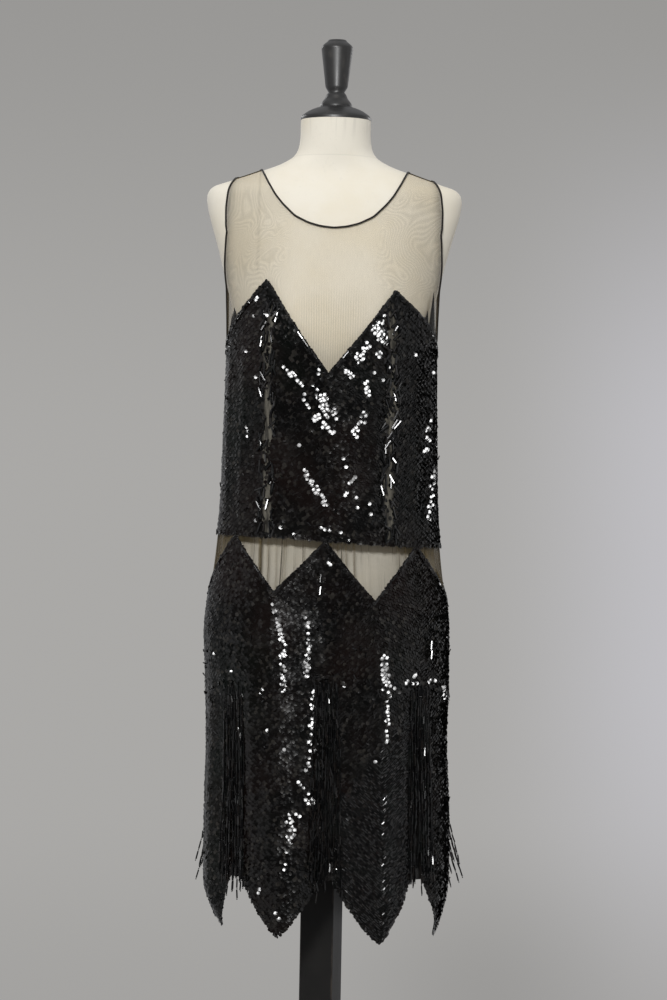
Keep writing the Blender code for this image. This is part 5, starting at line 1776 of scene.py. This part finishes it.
def build_fringe(godet, sizes):
    """Strands of bugles and small beads on threads, hanging from a tape over the petals' edges."""
    rng = np.random.default_rng(int(70 + godet.angle))
    top = float(edge_height(HIP_YOKE_BOTTOM, godet.angle)) - 3 * SEAM_GAP
    count, width = sizes.strands, FRINGE_WIDTH
    unit_length = sizes.bugle_length + BEAD_ROOM
    bugles, bugle_along, bugle_out, beads, threads = [], [], [], [], []
    for number in range(count):
        layer = number % 3
        place = (number - (count - 1) / 2) * width / count + rng.normal(0, 0.8 * MM)
        drop = FRINGE_DROP + rng.normal(0, 15 * MM) - 5 * MM * layer
        start = rng.random() * unit_length
        steps = max(3, int((drop - start) / unit_length))
        share = np.linspace(start / drop, 1, 2 * steps + 1)
        swing = rng.normal(0, 3.2 * MM) * share**1.5 + 1.1 * MM * np.sin(9 * share + 1.7 * number)
        z = top - 2.5 * MM - drop * share
        spread = place * (1 + 0.28 * share) + swing
        seat = 2.4 * MM + (0.6 + 1.3 * layer) * MM * np.minimum(1, 3 * share)
        sway = FRINGE_SWAY.get(godet.name, 0.0) * math.sqrt(rng.random())
        flare = godet.flare + sway + 1.5 * MM * abs(rng.normal())
        out = seat + flare * share**2 + 0.4 * MM * np.sin(13 * share + 2 * number)
        angle = godet.angle + angle_for(spread, godet.angle, z)
        line = dress_points(angle, z, out)
        threads.append(line)
        middle = line[1::2]
        bugles.append(middle)
        outward = unit(middle * (1, 1, 0))
        loose = np.where(rng.random((len(middle), 1)) < 0.2, 15.0, 4.0)
        turn = np.radians(rng.normal(0, 1, (len(middle), 1)) * loose)
        straight = unit(line[2::2] - line[:-2:2])
        bugle_along.append(np.cos(turn) * straight + np.sin(turn) * np.cross(outward, straight))
        bugle_out.append(outward)
        beads.append(line[2::2])
    bugles, beads = np.concatenate(bugles), np.concatenate(beads)
    bugle_along, bugle_out = np.concatenate(bugle_along), np.concatenate(bugle_out)
    pattern = bugle_pattern(sizes.bugle_width / 2 * 0.9, sizes.bugle_length)
    sticks = copies("sticks", pattern, bugles, bugle_axes(bugles, bugle_along, bugle_out, rng), False, rng)
    upright = np.tile(np.eye(3), (len(beads), 1, 1))
    dots = copies("dots", bead_pattern(HANGING_BEAD_RADIUS), beads, upright, True, rng)
    thread_meshes = [tube("thread", line[::2], THREAD_RADIUS, 3, False) for line in threads]
    tape_half = angle_for((width / 2 + 1 * MM), godet.angle, top)
    tape_angle = np.linspace(-1, 1, 15)[None] * tape_half + godet.angle
    tape_z = np.linspace(top - 3.5 * MM, top, 3)[:, None]
    tape = cloth("tape", tape_angle, tape_z, 1.5 * MM, 1.0 * MM, SKIRT_ARC, surface=dress_points)
    made = joined(f"fringe_{godet.name}_strands", [sticks, dots, *thread_meshes, tape])
    return dress_on(made, paint_for("fringe_beads"), "beads", "fringe_" + godet.name)


def build_side_pleats():
    """Narrow doubled pleats of net that rise from the low corners of the bodice at the sides."""
    Pleat = namedtuple("Pleat", "apex apex_z first last low_z")
    pleats = {
        "left": [
            Pleat(67.0, 1.213, 60.0, 68.5, 1.184),
            Pleat(73.0, 1.242, 66.0, 78.0, 1.172),
            Pleat(79.0, 1.192, 76.0, 83.0, 1.158),
            Pleat(102.0, 1.190, 97.0, 103.5, 1.158),
            Pleat(110.0, 1.212, 105.5, 111.0, 1.172),
        ],
        "right": [
            Pleat(-70.0, 1.213, -74.0, -61.0, 1.182),
            Pleat(-72.5, 1.204, -78.0, -70.5, 1.170),
            Pleat(-102.0, 1.192, -103.0, -97.0, 1.158),
            Pleat(-110.0, 1.214, -110.5, -105.0, 1.172),
        ],
    }
    pieces = {}
    for side, rows in pleats.items():
        points, faces, uv, reached = [], [], [], 0
        for pleat in rows:
            t = np.linspace(0, 1, 13)[:, None]
            across = np.linspace(0, 1, 7)[None]
            z = pleat.low_z + (pleat.apex_z - pleat.low_z) * t
            low = pleat.first + (pleat.last - pleat.first) * across
            angle = low + (pleat.apex - low) * t**0.85
            z = np.broadcast_to(z, angle.shape)
            ridge = 1.6 * MM * np.sin(np.pi * across) * (1 - t)
            grid = dress_points(angle, z, 1.1 * MM + ridge).reshape(-1, 3)
            points.append(grid)
            uv.append(cloth_uv(BODICE_ARC, angle, z))
            faces.append(grid_faces(6, 12, reached))
            reached += len(grid)
        points, faces, uv = np.concatenate(points), np.concatenate(faces), np.concatenate(uv)
        fold = 0.30 + 0.25 * np.sin(uv[:, 0] * 900)
        pieces[side] = shell(f"side_pleats_{side}", points, faces, uv, PLEAT_WALL, {"fold": fold})
        dress_on(pieces[side], paint_for("godet_net"), "net")
    return pieces


def build_stray_beads():
    """Short bugles that hang loose here and there."""
    rng = np.random.default_rng(91)
    count = STRAY_COUNT
    angle = rng.uniform(-180, 180, count)
    z = rng.uniform(0.34, 1.12, count)
    z = np.where((z > 0.78) & (z < 0.88), z - 0.14, z)
    across, up, outward = cloth_axes(angle, z)
    turn = rng.normal(0, math.radians(50), count)[:, None]
    lifted = 0.35 * np.abs(rng.normal(0, 1, (count, 1)))
    along = np.cos(turn) * up + np.sin(turn) * across + lifted * outward
    places = creased_points(angle, z, (3.0 + 1.5 * rng.random(count)) * MM)
    axes = bugle_axes(places, along, outward, rng)
    pattern = bugle_pattern(STRAY_BUGLE_RADIUS, STRAY_BUGLE_LENGTH)
    sew_beads("stray_bugles", pattern, places, axes, rng)


# Studio


def build_floor():
    """A round pale floor, eased at its edge."""
    deselect_all()
    bpy.ops.mesh.primitive_circle_add(vertices=128, radius=1.02, location=(0, 0, 0), fill_type="NGON")
    floor = bpy.context.object
    floor.name = "studio_floor"
    bpy.ops.object.mode_set(mode="EDIT")
    bpy.ops.mesh.select_all(action="SELECT")
    bpy.ops.mesh.extrude_region_move(TRANSFORM_OT_translate={"value": (0, 0, -0.004)})
    bpy.ops.transform.resize(value=(1.004, 1.004, 1), center_override=(0, 0, 0))
    bpy.ops.mesh.select_all(action="SELECT")
    bpy.ops.mesh.normals_make_consistent(inside=False)
    bpy.ops.object.mode_set(mode="OBJECT")
    floor.data.materials.append(paint_for("floor"))


Lamp = namedtuple("Lamp", "name place target width height radiance")
CAP_CARD = Lamp("cap_card", (0.05, -2.6, 0.80), (0, 0, 1.56), 0.22, 0.9, 90.0)
LAMPS = [
    Lamp("key_light", KEY_PLACE, (0, 0, 0.95), 0.8, 0.8, 82.0),
    Lamp("back_left", (-2.2, 3.4, 2.7), (0, 0, 0.9), 0.7, 0.7, 9.0),
    Lamp("back_right", (2.4, 3.2, 2.2), (0, 0, 0.9), 0.7, 0.7, 7.0),
]


def add_light(lamp):
    """An area light that shines at its target. Its power follows from its radiance and its area."""
    data = bpy.data.lights.new(lamp.name, "AREA")
    data.shape = "RECTANGLE"
    data.size, data.size_y = lamp.width, lamp.height
    data.energy = lamp.radiance * math.pi * data.size * data.size_y
    light = bpy.data.objects.new(lamp.name, data)
    light.location = lamp.place
    light.rotation_euler = (Vector(lamp.target) - Vector(lamp.place)).to_track_quat("-Z", "Y").to_euler()
    light.visible_camera = False
    bpy.context.scene.collection.objects.link(light)


class Air(Paint):
    """The light of the room, built up with the same nodes as a material."""

    def __init__(self, name):
        world = bpy.data.worlds.new(name)
        bpy.context.scene.world = world
        world.use_nodes = True
        self.tree = world.node_tree
        self.shader = self.tree.nodes["Background"]


ROOM_LEVEL = 0.36


def build_air():
    """A grey backdrop for the camera, painted with light and shade, and a darker room with pale sides for
    everything else.
    """
    air = Air("studio_air")
    direction = air.node("ShaderNodeTexCoord").outputs["Generated"]
    x, y, z = air.parts(direction)
    # Painted light and shade on the backdrop: darker towards the top and the bottom, a painted shadow low
    # near the middle, and a lighter, cooler band of painted light at the right.
    backdrop_falloff_shade = 1.0 - 0.22 * z.ramp(0.0, 0.17) - 0.08 * (z * -1).ramp(0.09, 0.15)
    shadow = (1.0 - abs(x - 0.050).ramp(0.0, 0.055)) * (z * -1).ramp(0.09, 0.145) * 0.12
    painted_light_band = x.ramp(0.035, 0.115) * (1.0 - z.ramp(0.02, 0.15)) * (1.0 - (z * -1).ramp(0.05, 0.19))
    warm = air.node("ShaderNodeCombineColor", inputs=[0.402, 0.395, 0.384]).outputs[0]
    backdrop = air.blend(painted_light_band, warm, colour(0.530, 0.525, 0.552))
    inputs = {0: backdrop, "Scale": backdrop_falloff_shade - shadow}
    grey = air.node("ShaderNodeVectorMath", {"operation": "SCALE"}, inputs).outputs[0]
    patches = air.noise(direction, 4.5, 3.0, 0.6).ramp(0.58, 0.70)
    front = (y * -1).ramp(0.45, 0.85)
    cards = air.noise(direction, 3.4, 3.0, 0.55).ramp(0.42, 0.60)
    sides = 0.17 + 0.62 * cards
    room = ROOM_LEVEL + (sides - ROOM_LEVEL) * abs(x).ramp(0.35, 0.75) + 0.34 * z.ramp(0.4, 0.9)
    level = room * (1.0 - front) + (0.07 + 0.55 * patches) * front
    to_camera = air.node("ShaderNodeLightPath").outputs["Is Camera Ray"]
    surroundings = air.node("ShaderNodeCombineColor", inputs=[level, level, level * 1.02]).outputs[0]
    air.feed(air.shader.inputs["Color"], air.blend(to_camera, surroundings, grey))


def build_studio():
    for lamp in LAMPS:
        add_light(lamp)
    build_air()


def build_camera():
    data = bpy.data.cameras.new("camera")
    data.lens = 120.0
    data.sensor_width = 36.0
    data.clip_start, data.clip_end = 0.1, 60.0
    camera = bpy.data.objects.new("camera", data)
    turn = Matrix.Rotation(math.radians(90), 4, "X") @ Matrix.Rotation(math.radians(CAMERA_ROLL), 4, "Z")
    camera.matrix_world = Matrix.Translation(Vector(CAMERA_PLACE)) @ turn
    bpy.context.scene.collection.objects.link(camera)
    bpy.context.scene.camera = camera
    view = bpy.context.scene.view_settings
    view.view_transform = "Standard"
    view.look = "None"
    view.exposure = 0.0
    view.gamma = 1.0


# Operators


class Step(bpy.types.Operator):
    """Shared base of the steps."""

    bl_options = {"REGISTER", "UNDO"}


class DRESS_OT_stage(Step):
    """Camera, soft lights, air and floor of the studio"""

    bl_idname = "dress.stage"
    bl_label = "Studio"

    def execute(self, context):
        build_camera()
        build_floor()
        build_studio()
        return {"FINISHED"}


class DRESS_OT_form(Step):
    """Canvas cover of the padded form"""

    bl_idname = "dress.form"
    bl_label = "Form cover"

    def execute(self, context):
        build_form_cover()
        return {"FINISHED"}


class DRESS_OT_stand(Step):
    """Turned cap, and the paint of the post and the base"""

    bl_idname = "dress.stand"
    bl_label = "Cap and stand"

    def execute(self, context):
        light_cap(build_neck_cap())
        paint_stand()
        return {"FINISHED"}


class DRESS_OT_yoke(Step):
    """Net yoke with its bindings, shoulder seams and side pleats"""

    bl_idname = "dress.yoke"
    bl_label = "Yoke"

    def execute(self, context):
        sizes = context.scene.dress_sizes
        rows = {}
        for side, middle, neck_z, neckline in (
            ("front", 0, FRONT_NECK_Z, FRONT_NECKLINE),
            ("back", 180, BACK_NECK_Z, BACK_NECKLINE),
        ):
            net, rows[side] = build_yoke(f"yoke_{side}_net", middle, neck_z, neckline)
            dress_on(net, paint_for("yoke_net"), "net", "yoke_" + side)
        build_bindings(rows["front"], rows["back"], sizes.binding_width)
        build_shoulder_seams(rows["front"], rows["back"])
        for side, piece in build_side_pleats().items():
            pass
        return {"FINISHED"}


class DRESS_OT_backing(Step):
    """Net of the bodice, hip yoke and petals, under the sequins"""

    bl_idname = "dress.backing"
    bl_label = "Sequined net"

    def execute(self, context):
        made = build_backings(context.scene.dress_sizes)
        return {"FINISHED"}


class DRESS_OT_net(Step):
    """Gathered net at the hip, and the godets"""

    bl_idname = "dress.net"
    bl_label = "Gathered net"

    def execute(self, context):
        sizes = context.scene.dress_sizes
        for piece in build_inserts(sizes):
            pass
        for piece in build_godets(sizes):
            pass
        return {"FINISHED"}


class DRESS_OT_sequins(Step):
    """Strings of sequins over every sequined panel"""

    bl_idname = "dress.sequins"
    bl_label = "Sequins"

    def execute(self, context):
        build_sequins(context.scene.dress_sizes)
        build_petal_bugles()
        return {"FINISHED"}


class DRESS_OT_edges(Step):
    """Rows of sequins, bugles and beads along the edges, and the loose bugles"""

    bl_idname = "dress.edges"
    bl_label = "Edges and bugles"

    def execute(self, context):
        sizes = context.scene.dress_sizes
        build_edge_rows(sizes)
        build_strip_bugles(sizes)
        build_stray_beads()
        return {"FINISHED"}


class DRESS_OT_fringe(Step):
    """Bead fringes over the godets"""

    bl_idname = "dress.fringe"
    bl_label = "Fringes"

    def execute(self, context):
        for godet in GODETS:
            build_fringe(godet, context.scene.dress_sizes)
        return {"FINISHED"}


STEPS = (
    DRESS_OT_stage,
    DRESS_OT_form,
    DRESS_OT_stand,
    DRESS_OT_yoke,
    DRESS_OT_backing,
    DRESS_OT_net,
    DRESS_OT_sequins,
    DRESS_OT_edges,
    DRESS_OT_fringe,
)


class DRESS_PT_panel(bpy.types.Panel):
    """Lists the steps, sizes and colours"""

    bl_idname = "DRESS_PT_panel"
    bl_label = "Sequin dress"
    bl_space_type = "VIEW_3D"
    bl_region_type = "UI"
    bl_category = "Dress"

    def draw(self, context):
        layout = self.layout
        for step in STEPS:
            layout.operator(step.bl_idname)
        for group in (context.scene.dress_sizes, context.scene.dress_colours):
            box = layout.box()
            for name in group.bl_rna.properties.keys():
                if name not in ("rna_type", "name"):
                    box.prop(group, name)


CLASSES = (DressSizes, DressColours, *STEPS, DRESS_PT_panel)


def register():
    for one in CLASSES:
        bpy.utils.register_class(one)
    bpy.types.Scene.dress_sizes = bpy.props.PointerProperty(type=DressSizes)
    bpy.types.Scene.dress_colours = bpy.props.PointerProperty(type=DressColours)


def unregister():
    del bpy.types.Scene.dress_colours
    del bpy.types.Scene.dress_sizes
    for one in reversed(CLASSES):
        bpy.utils.unregister_class(one)


def main():
    register()
    for step in STEPS:
        group, name = step.bl_idname.split(".")
        getattr(getattr(bpy.ops, group), name)()
    deselect_all()


if __name__ == "__main__":
    main()
